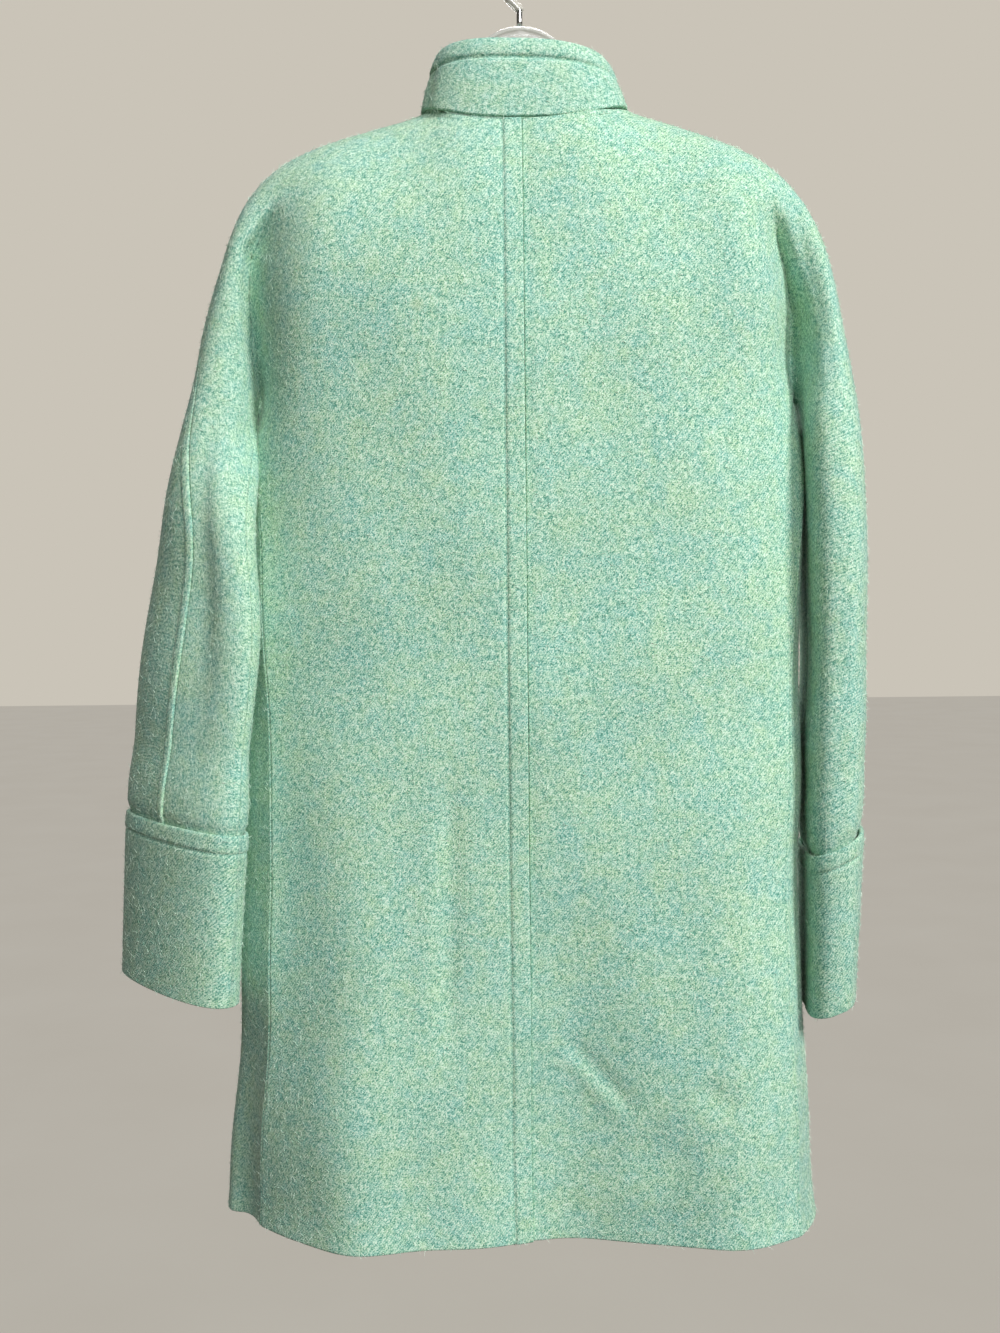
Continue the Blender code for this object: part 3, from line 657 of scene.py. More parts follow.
# %% Creased quarters
points = {name: quarter.points for name, quarter in quarters.items()}
quads = {name: quarter.quads for name, quarter in quarters.items()}
merged, place_count = merge_places(points)
normals = vertex_normals(points, quads, merged, place_count)
for name, quarter in quarters.items():
    push = hang_relief(points[name], normals[name][:, 1]) + side_ridge(quarter) + sleeve_puff(quarter)
    points[name] = points[name] + normals[name] * push[:, None]
normals = vertex_normals(points, quads, merged, place_count)
print("places shared at seams:", sum(len(p) for p in points.values()) - place_count)

# %% [markdown]
# ## Seams, laps and stitched strips
# The centre-back seam is pressed to one side and topstitched, so a raised strip lies left of it with a sunk
# line where the thread pulls the felt down, and the right half dips under its edge. The over-arm seam has a
# narrower strip on the front's side. Every other edge simply rolls over, as felt of this weight does. Bump in
# the material could hint at all this, but only moved points catch the light at the coat's edges too.

# %% Seam relief
ROLL = 1.35 * MM
STRIP_RAISE, STRIP_END = 1.2 * MM, 2.5 * MM
STITCH_SINK, STITCH_HALF = 1.3 * MM, 1.2 * MM
UNDER_DIP, UNDER_REACH = 1.0 * MM, 10 * MM
OVER_RAISE, OVER_START_Z, OVER_FADE = 1.6 * MM, -0.39, 0.06
HEM_PAD, HEM_REACH = 0.8 * MM, 22 * MM


def rolled(distance):
    """How far cloth sinks near an edge that rolls over."""
    inside = np.clip(1 - distance / ROLL, 0, 1)
    return ROLL * (np.sqrt(1 - inside ** 2) - 1)


def rolled_edges(quarter):
    """How far a quarter sinks along all its edges."""
    return sum(rolled(distance) for distance in (quarter.edge, quarter.top, quarter.seam, quarter.hem))


def stitched_strip(distance, stitch, raise_by):
    """A raised strip between an edge and its topstitching, and the stitching's sunk line."""
    strip = raise_by * (1 - ease((distance - stitch + STRIP_END) / (2 * STRIP_END)))
    return strip - STITCH_SINK * bell(distance - stitch, STITCH_HALF)


def seam_relief(name, quarter, z):
    """How far the outer face of a quarter stands off its even wall."""
    relief = rolled_edges(quarter)
    relief += HEM_PAD * (1 - ease(quarter.hem / HEM_REACH))
    if name == "back_left":
        relief += stitched_strip(quarter.edge, CENTRE_STITCH, STRIP_RAISE)
    if name == "back_right":
        relief -= UNDER_DIP * (1 - ease(quarter.edge / UNDER_REACH))
    if quarter.face == FRONT:
        sewn = ease((OVER_START_Z - z) / OVER_FADE) * (quarter.top < FAR)
        relief += sewn * stitched_strip(quarter.top, OVER_STITCH, OVER_RAISE)
    return relief


# %% Rims of the cloth
SEAM_GAP = 0.0003


def rim_edges(quads):
    """Edges that belong to one quad only, in its direction."""
    edges = np.concatenate([quads[:, [corner, (corner + 1) % 4]] for corner in range(4)])
    span = quads.max() + 1
    alone = ~np.isin(edges[:, 1] * span + edges[:, 0], edges[:, 0] * span + edges[:, 1])
    return edges[alone]


def draw_in(points, normals, rims):
    """Points with the rims drawn in by half a seam gap."""
    pull = np.zeros_like(points)
    sideways = np.cross(normals[rims[:, 0]], points[rims[:, 1]] - points[rims[:, 0]])
    sideways /= np.maximum(np.linalg.norm(sideways, axis=1, keepdims=True), TINY)
    for end in range(2):
        np.add.at(pull, rims[:, end], sideways)
    length = np.linalg.norm(pull, axis=1, keepdims=True)
    return points + pull / np.maximum(length, TINY) * SEAM_GAP / 2


print("rims: edges", {name: len(rim_edges(faces)) for name, faces in quads.items()})

# %% Cloth shells
CLOTH_MAP = "cloth"


def add_piece(name, points, faces, uv=None):
    """A new smooth-shaded mesh object, with the cloth's own map where it has one."""
    mesh = bpy.data.meshes.new(name)
    mesh.from_pydata(points.tolist(), [], [list(face) for face in faces])
    if uv is not None:
        corners = np.empty(len(mesh.loops), np.int32)
        mesh.loops.foreach_get("vertex_index", corners)
        mesh.uv_layers.new(name=CLOTH_MAP).uv.foreach_set("vector", uv[corners].astype(np.float32).ravel())
    mesh.shade_smooth()
    piece = bpy.data.objects.new(name, mesh)
    bpy.context.scene.collection.objects.link(piece)
    return piece


def add_shell(name, points, normals, quads, wall, outer_relief, inner_relief, uv):
    """A closed sheet of cloth; returns its piece and its outer face's points."""
    rims = rim_edges(quads)
    middle = draw_in(points, normals, rims)
    outer = middle + normals * (wall / 2 + outer_relief)[:, None]
    inner = middle - normals * (wall / 2 + inner_relief)[:, None]
    count = len(points)
    rim = np.stack((rims[:, 1], rims[:, 0], rims[:, 0] + count, rims[:, 1] + count), axis=1)
    faces = np.concatenate((quads, quads[:, ::-1] + count, rim))
    piece = add_piece(name, np.concatenate((outer, inner)), faces.tolist(), np.concatenate((uv, uv)))
    return piece, outer


cloth, outer_faces = {}, {}
for name, quarter in quarters.items():
    relief = seam_relief(name, quarter, points[name][:, 2])
    cloth[name], outer_faces[name] = add_shell(
        "felt_" + name, points[name], normals[name], quads[name], WALL, relief, rolled_edges(quarter),
        quarter.uv)
print("shells:", {name: len(piece.data.polygons) for name, piece in cloth.items()})

# %% [markdown]
# ## The standing collar
# The collar is one strip of doubled felt round the neck. A row of stitching 15 mm below its top edge holds
# the two layers together, so the band above it puffs up like a cord and the stitching lies in a groove. Its
# right end laps over its left in front. A bent plane would do for a plain collar; a grid of columns round the
# neck seam also follows the seam's slope and the lap.

# %% Collar columns
COLLAR_WALL, COLLAR_BACK, COLLAR_FRONT = 0.005, 0.049, 0.052
COLLAR_LEFT, COLLAR_RIGHT, COLLAR_TILT = 0.0635, 0.0668, 0.0042
COLLAR_TOP_Z, COLLAR_DROP, COLLAR_BOW = -0.1085, 0.012, 0.0015
COLLAR_LIFT, COLLAR_LIFT_SLOPED = 0.0006, 0.0008
COLLAR_STITCH, COLLAR_LAP_TURN, COLLAR_STEPS, COLLAR_RISES = 15 * MM, math.pi / 20, 260, 22


def collar_rises(length):
    """Distances up the collar, close at its edges and its stitching."""
    down = strip_lines(COLLAR_STITCH)
    middle = between(EDGE_LINES[-1], length - down[-1], COLLAR_RISES)
    return np.concatenate((EDGE_LINES, middle, length - down[-2::-1]))


def collar_column(side, face, angle):
    """The collar's points at one place round the neck, from its seam to its top edge."""
    lift = mix(COLLAR_LIFT, COLLAR_LIFT_SLOPED, math.sin(2 * angle))
    low = neck_points(side, face, angle) + np.array((0, 0, lift))
    depth = COLLAR_BACK if face == BACK else COLLAR_FRONT
    drop = COLLAR_DROP * (1 + face * math.cos(angle)) / 2
    half = COLLAR_RIGHT if side > 0 else COLLAR_LEFT
    top_z = COLLAR_TOP_Z - drop - COLLAR_TILT * side * math.sin(angle)
    high = neck_oval(side * half, face * depth, angle, top_z)
    height = np.linalg.norm(high - low)
    part = collar_rises(height) / height
    path = low + (high - low) * part[:, None]
    outward = path * (1, 1, 0)
    outward /= np.linalg.norm(outward, axis=1, keepdims=True)
    return path + outward * COLLAR_BOW * np.sin(part * math.pi)[:, None]


print("collar: points up the centre back", len(collar_column(LEFT, BACK, 0.0)))


# %% Collar grid
def collar_grid(turns):
    """Columns round the neck from the left front's end over the back to the right front's end."""
    columns = []
    for turn in turns:
        hand = RIGHT if turn > 0 else LEFT
        face = BACK if abs(turn) <= QUARTER_TURN else FRONT
        side = -hand if abs(turn) > math.pi else hand
        angle = abs(turn) if face == BACK else abs(math.pi - abs(turn))
        column = collar_column(side, face, angle)
        if face == FRONT:
            edge = np.abs(collar_column(side, FRONT, COLLAR_LAP_TURN)[:, 0])
            fade = (LAP_FADE * edge - np.abs(column[:, 0])) / ((LAP_FADE - 1) * edge)
            column[:, 1] += hand * ease(fade) * (COLLAR_WALL + LAP_GAP) / 2
        columns.append(column)
    return np.stack(columns, axis=1)


collar_turns = np.linspace(-1, 1, COLLAR_STEPS + 1) * (math.pi + COLLAR_LAP_TURN)
grid = collar_grid(collar_turns)
print("collar: rows and columns", grid.shape[:2])

# %% Collar shell
COLLAR_PUFF, COLLAR_SINK = 1.4 * MM, 1.8 * MM
CORNER_TURN, CORNER_HALF, CORNER_SINK = math.radians(-63), math.radians(5), 1.1 * MM
CORNER_TOP, GROOVE_LOST = 0.5, 0.7
GROOVE_FADE_TURN, GROOVE_FADE = math.radians(30), math.radians(30)


def own_normals(points, quads):
    """Normals of a piece that shares no place with another."""
    own = {"piece": np.arange(len(points))}
    return vertex_normals({"piece": points}, {"piece": quads}, own, len(points))["piece"]


def padded_band(distance, stitch, puff):
    """How far the band between an edge and its stitching puffs up, as half an ellipse."""
    return puff * np.sqrt(np.clip(1 - (2 * distance / stitch - 1) ** 2, 0, 1))


collar_index = numbered(grid)
collar_points, collar_quads = grid.reshape(-1, 3), grid_quads(collar_index, False)
around, up = run_lengths(grid, 1), run_lengths(grid, 0)
below_top, past_end = up[-1:] - up, np.minimum(around, around[:, -1:] - around)
edges = rolled(below_top) + rolled(up) + rolled(past_end)
groove = COLLAR_SINK * bell(below_top - COLLAR_STITCH, STITCH_HALF)
groove *= 1 - GROOVE_LOST * ease((collar_turns - GROOVE_FADE_TURN) / GROOVE_FADE)
corner = CORNER_SINK * bell(collar_turns - CORNER_TURN, CORNER_HALF)
groove += corner * ease(below_top / COLLAR_STITCH - CORNER_TOP)
relief = edges + padded_band(below_top, COLLAR_STITCH, COLLAR_PUFF) - groove
cloth["collar"], outer_faces["collar"] = add_shell(
    "felt_collar", collar_points, own_normals(collar_points, collar_quads), collar_quads, COLLAR_WALL,
    relief.ravel(), edges.ravel(), np.stack((around, up), -1).reshape(-1, 2))
print("collar: height", round(float(up[-1].mean()), 4), "length", round(float(around[0, -1]), 4))

# %% [markdown]
# ## The cuffs
# Each cuff is a tube of felt that laps 30 mm over the sleeve's end. Its upper edge is turned in and stitched
# 13 mm down, so it has the same padded rim as the collar. A plain cylinder would cut through the sleeve, so
# the tube is the sleeve's own section moved out past the sleeve's wall, which keeps the two clear of each
# other all the way round.

# %% Cuffs
CUFF_WALL, CUFF_EASE, CUFF_SNUG, CUFF_STITCH = 0.003, 0.0009, 0.0003, 13 * MM
CUFF_PUFF, CUFF_SINK, CUFF_STEPS, CUFF_RISES = 0.7 * MM, 0.9 * MM, 110, 30


def cuff_lines():
    """Distances down a cuff, close at its edges and its stitching."""
    down = strip_lines(CUFF_STITCH)
    middle = between(down[-1], CUFF_HEIGHT - EDGE_LINES[-1], CUFF_RISES)
    return np.concatenate((down, middle, CUFF_HEIGHT - EDGE_LINES[-2::-1]))


def cuff_grid(side, down):
    """A cuff's points before it is moved out, by line down the cuff and step round it, ends meeting."""
    section = read_rows(ARMS[side], cuff_place(side, down / CUFF_HEIGHT))
    fine = arm_points(section, np.linspace(0, 2, 2 * FINE_STEPS)[None])
    return np.array([
        at_distances(path, np.linspace(0, run_lengths(path)[-1], CUFF_STEPS + 1)) for path in fine])


def ring_quads(index, flip):
    """The quads of a grid of point numbers whose columns close into rings."""
    return grid_quads(np.concatenate((index, index[:, :1]), axis=1), flip)


# %% Cuff shells
cuff_index = {}
for name, side in (("cuff_left", LEFT), ("cuff_right", RIGHT)):
    down = cuff_lines()
    grid = cuff_grid(side, down)
    round_cuff = run_lengths(grid, 1)
    grid = grid[:, :-1]
    cuff_index[name] = numbered(grid)
    cuff_quads, flat = ring_quads(cuff_index[name], side > 0), grid.reshape(-1, 3)
    depth = np.repeat(down, CUFF_STEPS)
    clear = (WALL + CUFF_WALL) / 2 + mix(CUFF_SNUG, CUFF_EASE, ease(depth / CUFF_STITCH))
    flat = flat + own_normals(flat, cuff_quads) * clear[:, None]
    edges = rolled(depth) + rolled(CUFF_HEIGHT - depth)
    relief = edges + padded_band(depth, CUFF_STITCH, CUFF_PUFF)
    relief -= CUFF_SINK * bell(depth - CUFF_STITCH, STITCH_HALF)
    uv = np.stack((round_cuff[:, :-1].ravel() * -side, depth), axis=1)
    cloth[name], outer_faces[name] = add_shell(
        "felt_" + name, flat, own_normals(flat, cuff_quads), cuff_quads, CUFF_WALL, relief, edges, uv)
    print(name, "grid", grid.shape[:2], "girth", round(float(round_cuff[:, -1].mean()), 4))

# %% [markdown]
# ## The hanger
# A clear hanger is moulded in one T section: a flange that the cloth lies on and a web below it. Only its
# crown shows above the collar. A bevelled curve would give it a round section, so the T is swept ring by ring
# along a path of arcs and straights, with every corner rounded, because moulded edges catch light in a thin
# line.

# %% Hanger path
CROWN_Z, ARCH_RADIUS, ARCH_TURN, LEG_LENGTH = -0.0787, 0.045, math.radians(78), 0.0174
BEND_RADIUS, SHOULDER_SLOPE, ARM_LENGTH = 0.022, math.radians(17.3), 0.121
HANGER_STEP = 2.5 * MM


def bend_path(start, bends):
    """Points in the XZ plane from a start; each bend is (radius, turn), or (0, length) for a straight."""
    points, heading = [np.array(start)], 0.0
    for radius, amount in bends:
        length = abs(radius * amount) if radius else amount
        count = max(1, round(length / HANGER_STEP))
        for _ in range(count):
            turn = amount / count if radius else 0.0
            heading += turn / 2
            points.append(points[-1] + length / count * np.array((math.cos(heading), 0, math.sin(heading))))
            heading += turn / 2
    return np.array(points)


half = bend_path((0, 0, CROWN_Z), (
    (ARCH_RADIUS, -ARCH_TURN), (0, LEG_LENGTH), (BEND_RADIUS, ARCH_TURN - SHOULDER_SLOPE), (0, ARM_LENGTH)))
hanger_path = np.concatenate((half[:0:-1] * (-1, 1, 1), half))
print("hanger: length along its arms", round(float(run_lengths(hanger_path)[-1]), 4))

# %% Sweeping a section
CORNER_ROUND, CORNER_MOST, CORNER_STEPS = 0.6 * MM, 0.45, 4


def round_corners(loop):
    """A loop of (y, rise) corners, each turned into a short arc."""
    loop = np.array(loop)
    arcs = []
    for before, corner, after in zip(np.roll(loop, 1, axis=0), loop, np.roll(loop, -1, axis=0)):
        cuts = [min(CORNER_MOST, CORNER_ROUND / np.linalg.norm(end - corner)) for end in (before, after)]
        first, last = mix(corner, before, cuts[0]), mix(corner, after, cuts[1])
        for part in np.linspace(0, 1, CORNER_STEPS):
            arcs.append(mix(mix(first, corner, part), mix(corner, last, part), part))
    return np.array(arcs)


def path_normals(path):
    """Unit vectors across a path, in the XZ plane."""
    along = np.gradient(path, axis=0)
    up = np.stack((-along[:, 2], np.zeros(len(path)), along[:, 0]), axis=1)
    return up / np.linalg.norm(up, axis=1, keepdims=True)


def sweep(name, path, profiles):
    """A solid swept along a path in the XZ plane; each profile is a loop of (y, rise) pairs."""
    up = path_normals(path)
    rings = path[:, None] + up[:, None] * profiles[..., 1:] + np.array((0, 1, 0)) * profiles[..., :1]
    index = numbered(rings)
    faces = ring_quads(index, False).tolist() + [index[0, ::-1].tolist(), index[-1].tolist()]
    return add_piece(name, rings.reshape(-1, 3), faces)


# %% Swept hanger
FLANGE_HALF, FLANGE_CROWN, FLANGE_DEEP = 0.005, 0.0015, 0.0045
WEB_HALF, WEB_DEEP, BOSS_HALF, BOSS_REACH = 0.0015, 0.014, 0.0045, 0.007
profiles = []
for x, _, z in hanger_path:
    boss = bell(x, BOSS_REACH) if z > CROWN_Z - ARCH_RADIUS / 2 else 0.0
    web = mix(WEB_HALF, BOSS_HALF, boss)
    profiles.append(round_corners((
        (0, 0), (-FLANGE_HALF, -FLANGE_CROWN), (-FLANGE_HALF, -FLANGE_DEEP), (-web, -FLANGE_DEEP),
        (-web, -WEB_DEEP), (web, -WEB_DEEP), (web, -FLANGE_DEEP), (FLANGE_HALF, -FLANGE_DEEP),
        (FLANGE_HALF, -FLANGE_CROWN))))
hard = {"hanger": sweep("moulded_hanger", hanger_path, np.array(profiles))}
print("hanger: rings", len(hanger_path), "faces", len(hard["hanger"].data.polygons))

# %% [markdown]
# ## The hook and its sleeve
# The hook is chromed wire that rises from the crown, swings out to the left and turns over the rail. A clear
# vinyl tube is pulled over it so that it doesn't mark the rail. Both could be curves with a bevel; here the
# wire is a round section swept along its path, so that its tip can be rounded off, and the tube is a thin
# shell round the same path.

# %% Hook
WIRE_RADIUS, VINYL_WALL, LOOP_RADIUS, TIP_ROUND = 0.00225, 0.001, 0.0215, 0.95
LOOP_START, LOOP_END = math.radians(180), math.radians(-28)
STEM_TOP_Z, STEM_PULL, SWING_PULL = -0.0665, 0.005, 0.037
STEM_STEPS, SWING_STEPS, LOOP_STEPS, BARE_STEPS, WIRE_SIDES = 4, 24, 66, 3, 20

loop_turn = np.linspace(LOOP_START, LOOP_END, LOOP_STEPS + 1)
loop_z = -LOOP_RADIUS + WIRE_RADIUS + VINYL_WALL + SEAM_GAP
circle = np.stack((np.cos(loop_turn), np.zeros_like(loop_turn), np.sin(loop_turn)), 1)
loop = circle * LOOP_RADIUS + (0, 0, loop_z)
stem = np.array([(0, 0, z) for z in np.linspace(CROWN_Z + SEAM_GAP, STEM_TOP_Z, STEM_STEPS + 1)])
pull, lead = stem[-1] + (0, 0, STEM_PULL), loop[0] - (0, 0, SWING_PULL)
part = np.linspace(0, 1, SWING_STEPS + 1)[1:-1, None]
swing = mix(mix(mix(stem[-1], pull, part), mix(pull, lead, part), part),
            mix(mix(pull, lead, part), mix(lead, loop[0], part), part), part)
wire_path = np.concatenate((stem, swing, loop))
ring_turn = np.linspace(0, math.tau, WIRE_SIDES, endpoint=False)
ring = np.stack((np.cos(ring_turn), np.sin(ring_turn)), 1)
to_tip = run_lengths(wire_path)[-1] - run_lengths(wire_path)
tip = np.sqrt(np.clip(1 - np.clip(1 - to_tip / WIRE_RADIUS, 0, TIP_ROUND) ** 2, 0, 1))
hard["hook"] = sweep("wire_hook", wire_path, WIRE_RADIUS * tip[:, None, None] * ring)
print("hook: length", round(float(run_lengths(wire_path)[-1]), 4))

# %% Vinyl tube
covered = wire_path[STEM_STEPS:-BARE_STEPS]
out = path_normals(covered)[:, None] * ring[:, 1:] + np.array((0, 1, 0)) * ring[:, :1]
tube = covered[:, None] + out * (WIRE_RADIUS + SEAM_GAP + VINYL_WALL / 2)
tube_index = numbered(tube)
even = np.zeros(tube_index.size)
tube_map = np.stack(np.broadcast_arrays(ring_turn[None] * WIRE_RADIUS, run_lengths(covered)[:, None]), -1)
hard["hook_sleeve"], _ = add_shell(
    "vinyl_tube", tube.reshape(-1, 3), out.reshape(-1, 3), ring_quads(tube_index, False), VINYL_WALL,
    even, even, tube_map.reshape(-1, 2))
print("tube: rings", len(covered), "faces", len(hard["hook_sleeve"].data.polygons))

# %% [markdown]
# ## Building node trees
# Materials and Geometry Nodes are both trees of nodes. They could be drawn by hand in the node editor; here
# one small function adds a node, sets what it is told to and links its inputs, so each tree below reads as a
# list of steps. Inputs that share a name are given by number: a Mix node takes its colours at 6 and 7 and
# gives one at output 2, and a Map Range node's inputs 1 to 4 are the two ends that it reads and the two that
# it gives. Colours are written as the sRGB hex values that a picture editor shows, and one function turns
# them into the linear numbers that shaders expect.

# %% Node and colour helpers
def linear(code):
    """An sRGB hex colour as linear RGBA."""
    parts = [int(code[start:start + 2], 16) / 255 for start in (1, 3, 5)]
    return (*[p / 12.92 if p <= 0.04045 else ((p + 0.055) / 1.055) ** 2.4 for p in parts], 1.0)


def add_node(tree, kind, inputs=None, **settings):
    """Add a node with its settings; each input is a value or another node's output."""
    node = tree.nodes.new(kind)
    for name, value in settings.items():
        setattr(node, name, value)
    for key, value in (inputs or {}).items():
        if isinstance(value, bpy.types.NodeSocket):
            tree.links.new(value, node.inputs[key])
        else:
            node.inputs[key].default_value = value
    return node


def new_material(name, **sockets):
    """A material with a Principled shader, and that shader with constants on its own sockets."""
    material = bpy.data.materials.new(name)
    material.use_nodes = True
    shader = material.node_tree.nodes["Principled BSDF"]
    for socket, value in sockets.items():
        shader.inputs[socket.replace("_", " ")].default_value = value
    return material, shader


# %% [markdown]
# ## Heathered felted wool
# The cloth is a milled wool twill: fibres dyed in several mints, creams and teals are mixed before spinning,
# so the colour is a fine speckle in soft blotches, and the felted nap hides most of the weave. A scanned
# picture of cloth would repeat and stretch, so noise at real sizes makes the speckle, the streaks along both
# threads, the clumps and the blotches. A diagonal wave on the cloth's own map is the twill, and all but the
# blotches push the surface a little so that it looks furry. The back has one small old stain.

# %% Wool sizes and tones
FIBRE, STREAK, CLUMP, BLOTCH, PATCH = 0.85 * MM, 4.2 * MM, 2.2 * MM, 11 * MM, 45 * MM
PATCH_SHARE, HUE_LOW, HUE_HIGH = 0.8, 0.66, 1.14
# The real twill has about 1 mm between its ribs; it is drawn a little coarser so that it shows
TWILL_PITCH, TWILL_TURN, TWILL_WANDER = 1.9 * MM, math.radians(40), 4.5
# A wave texture of scale 1 repeats after this length
WAVE_LENGTH = math.tau / 20
WOOL_BUMP, BUMP_STRENGTH, SPECKLE_HALF = 0.8 * MM, 0.8, 0.12

WoolTone = namedtuple("WoolTone", "dark light cool warm twill")
WOOL_TONES = {
    "felted_wool": WoolTone("#549482", "#def5e0", "#96ccbd", "#b1d7b1", 0.07),
    # Collar, body and cuffs are one felt. The collar's tones are painted a little lighter, as painted light
    # from above, and the cuffs' a little darker, as painted shade low down
    "felted_wool_collar": WoolTone("#5a9a88", "#e0f6e4", "#9ad0c0", "#b2d9b6", 0.08),
    "felted_wool_cuff": WoolTone("#4f8d7c", "#d8efda", "#93c8b8", "#aad1ad", 0.09),
}
Layer = namedtuple("Layer", "name across up detail share")
SPECKLE = (
    Layer("fibre", FIBRE, FIBRE, 2, 0.55), Layer("weft", STREAK, FIBRE, 1, 0.16),
    Layer("warp", FIBRE, STREAK, 1, 0.16), Layer("clump", CLUMP, CLUMP, 2, 0.35),
)
STAIN_PLACE = (-0.0791, -0.075, -0.313)
Stain = namedtuple("Stain", "colour edge core most")
STAINS = (Stain("#c2c890", 7 * MM, 0.0, 0.45), Stain("#8a6f45", 1.6 * MM, 0.64 * MM, 0.9))
print("wool: tones", list(WOOL_TONES), "layers", [layer.name for layer in SPECKLE])


# %% Wool nap
def wool_height(tree, place, threads, rib):
    """The nap's height from its layers of noise and its twill, and the middle of that height."""
    heights = []
    for layer in SPECKLE:
        lies_on = place if layer.across == layer.up else threads
        spaced = add_node(tree, "ShaderNodeMapping", {
            "Vector": lies_on, "Scale": (1 / layer.across, 1 / layer.up, 1 / layer.up)})
        noise = add_node(tree, "ShaderNodeTexNoise", {
            "Vector": spaced.outputs["Vector"], "Scale": 1.0, "Detail": layer.detail}, label=layer.name)
        heights.append((noise.outputs["Fac"], layer.share))
    turned = add_node(tree, "ShaderNodeMapping", {"Vector": threads, "Rotation": (0, 0, TWILL_TURN)})
    twill = add_node(tree, "ShaderNodeTexWave", {
        "Vector": turned.outputs["Vector"], "Scale": WAVE_LENGTH / TWILL_PITCH, "Distortion": TWILL_WANDER,
        "Detail": 2, "Detail Scale": 2.0})
    heights.append((twill.outputs["Fac"], rib))
    height = 0.0
    for value, share in heights:
        height = add_node(tree, "ShaderNodeMath", {0: value, 1: share, 2: height},
                          operation="MULTIPLY_ADD").outputs[0]
    return height, 0.5 * sum(share for _, share in heights)


# %% Wool material
def make_wool(name):
    """Felted wool twill for one slot: a matt, speckled nap that shows hardly a rib of the weave."""
    tone = WOOL_TONES[name]
    material, shader = new_material(
        "milled_twill_for_" + name, Roughness=0.92, Sheen_Weight=0.2, Sheen_Roughness=0.45,
        Specular_IOR_Level=0.15)
    tree = material.node_tree
    place = add_node(tree, "ShaderNodeTexCoord").outputs["Object"]
    threads = add_node(tree, "ShaderNodeUVMap", uv_map=CLOTH_MAP).outputs["UV"]
    height, middle = wool_height(tree, place, threads, tone.twill)
    blotch, patch = [
        add_node(tree, "ShaderNodeTexNoise", {"Vector": place, "Scale": 1 / size, "Detail": 2}).outputs["Fac"]
        for size in (BLOTCH, PATCH)]
    cloud = add_node(tree, "ShaderNodeMath", {0: patch, 1: PATCH_SHARE, 2: blotch}, operation="MULTIPLY_ADD")
    away = add_node(tree, "ShaderNodeVectorMath", {0: place, 1: STAIN_PLACE}, operation="DISTANCE")
    tints = [
        (cloud.outputs[0], HUE_LOW, HUE_HIGH, 1.0, tone.warm),
        (height, middle, middle - SPECKLE_HALF, 1.0, tone.dark),
        (height, middle, middle + SPECKLE_HALF, 1.0, tone.light),
    ]
    tints += [(away.outputs["Value"], stain.edge, stain.core, stain.most, stain.colour) for stain in STAINS]
    colour = linear(tone.cool)
    for value, start, end, most, code in tints:
        part = add_node(tree, "ShaderNodeMapRange", {"Value": value, 1: start, 2: end, 4: most})
        colour = add_node(tree, "ShaderNodeMix", {0: part.outputs[0], 6: colour, 7: linear(code)},
                          data_type="RGBA").outputs[2]
    tree.links.new(colour, shader.inputs["Base Color"])
    bump = add_node(tree, "ShaderNodeBump", {
        "Height": height, "Strength": BUMP_STRENGTH, "Distance": WOOL_BUMP})
    tree.links.new(bump.outputs["Normal"], shader.inputs["Normal"])
    return material


wool = {name: make_wool(name) for name in WOOL_TONES}
# The collar and the cuffs take their own tones, which hold painted light (collar) and painted shade (cuffs)
OWN_SLOTS = {
    "collar": "felted_wool_collar", "cuff_left": "felted_wool_cuff", "cuff_right": "felted_wool_cuff",
}
slots = {name: OWN_SLOTS.get(name, "felted_wool") for name in cloth}
for name, piece in cloth.items():
    piece.data.materials.append(wool[slots[name]])
print("wool:", {name: len(material.node_tree.nodes) for name, material in wool.items()})

# %% [markdown]
# ## Clear plastic and chromed wire
# Clear polystyrene and vinyl let what is behind them show through, so most of each is left transparent:
# real refraction would cost much render time for pieces a few pixels wide. Polystyrene is hard and glossy
# with faint flow lines, vinyl is softer and slightly yellow. Chrome is a mirror that is a little brushed
# along the wire. Each gets its colour and its roughness from a stretched noise, because no moulded or drawn
# surface is quite even.

# %% Plastic and chrome
# The grain is the size of a finish's pattern along X, Y and Z: flow lines, drawing marks or a faint mottle
HardFinish = namedtuple("HardFinish", "slot first last smooth rough metallic alpha ior grain")
HARD_FINISHES = {
    "hanger": HardFinish(
        "clear_polystyrene", "#cfd3d1", "#e6e8e6", 0.05, 0.15, 0, 0.28, 1.59,
        (16.67 * MM, 16.67 * MM, 3.333 * MM)),
    "hook": HardFinish(
        "chromed_wire", "#b9b9b8", "#dedddb", 0.06, 0.22, 1, 1, 1.5,
        (0.6667 * MM, 0.6667 * MM, 8.333 * MM)),
    "hook_sleeve": HardFinish(
        "clear_vinyl", "#e4e0d5", "#f2efe6", 0.10, 0.25, 0, 0.35, 1.53,
        (5 * MM, 5 * MM, 5 * MM)),
}
SMOOTH_BELOW, ROUGH_ABOVE = 0.3, 0.7


def make_hard(finish):
    """A hard material whose colour and roughness vary along a stretched noise."""
    material, shader = new_material(
        "finish_of_" + finish.slot, Metallic=finish.metallic, Alpha=finish.alpha, IOR=finish.ior)
    tree = material.node_tree
    spaced = add_node(tree, "ShaderNodeMapping", {
        "Vector": add_node(tree, "ShaderNodeTexCoord").outputs["Object"],
        "Scale": [1 / size for size in finish.grain]})
    noise = add_node(tree, "ShaderNodeTexNoise",
                     {"Vector": spaced.outputs["Vector"], "Scale": 1.0, "Detail": 2}).outputs["Fac"]
    colour = add_node(tree, "ShaderNodeMix", {0: noise, 6: linear(finish.first), 7: linear(finish.last)},
                      data_type="RGBA")
    tree.links.new(colour.outputs[2], shader.inputs["Base Color"])
    rough = add_node(tree, "ShaderNodeMapRange", {
        "Value": noise, 1: SMOOTH_BELOW, 2: ROUGH_ABOVE, 3: finish.smooth, 4: finish.rough})
    tree.links.new(rough.outputs[0], shader.inputs["Roughness"])
    return material


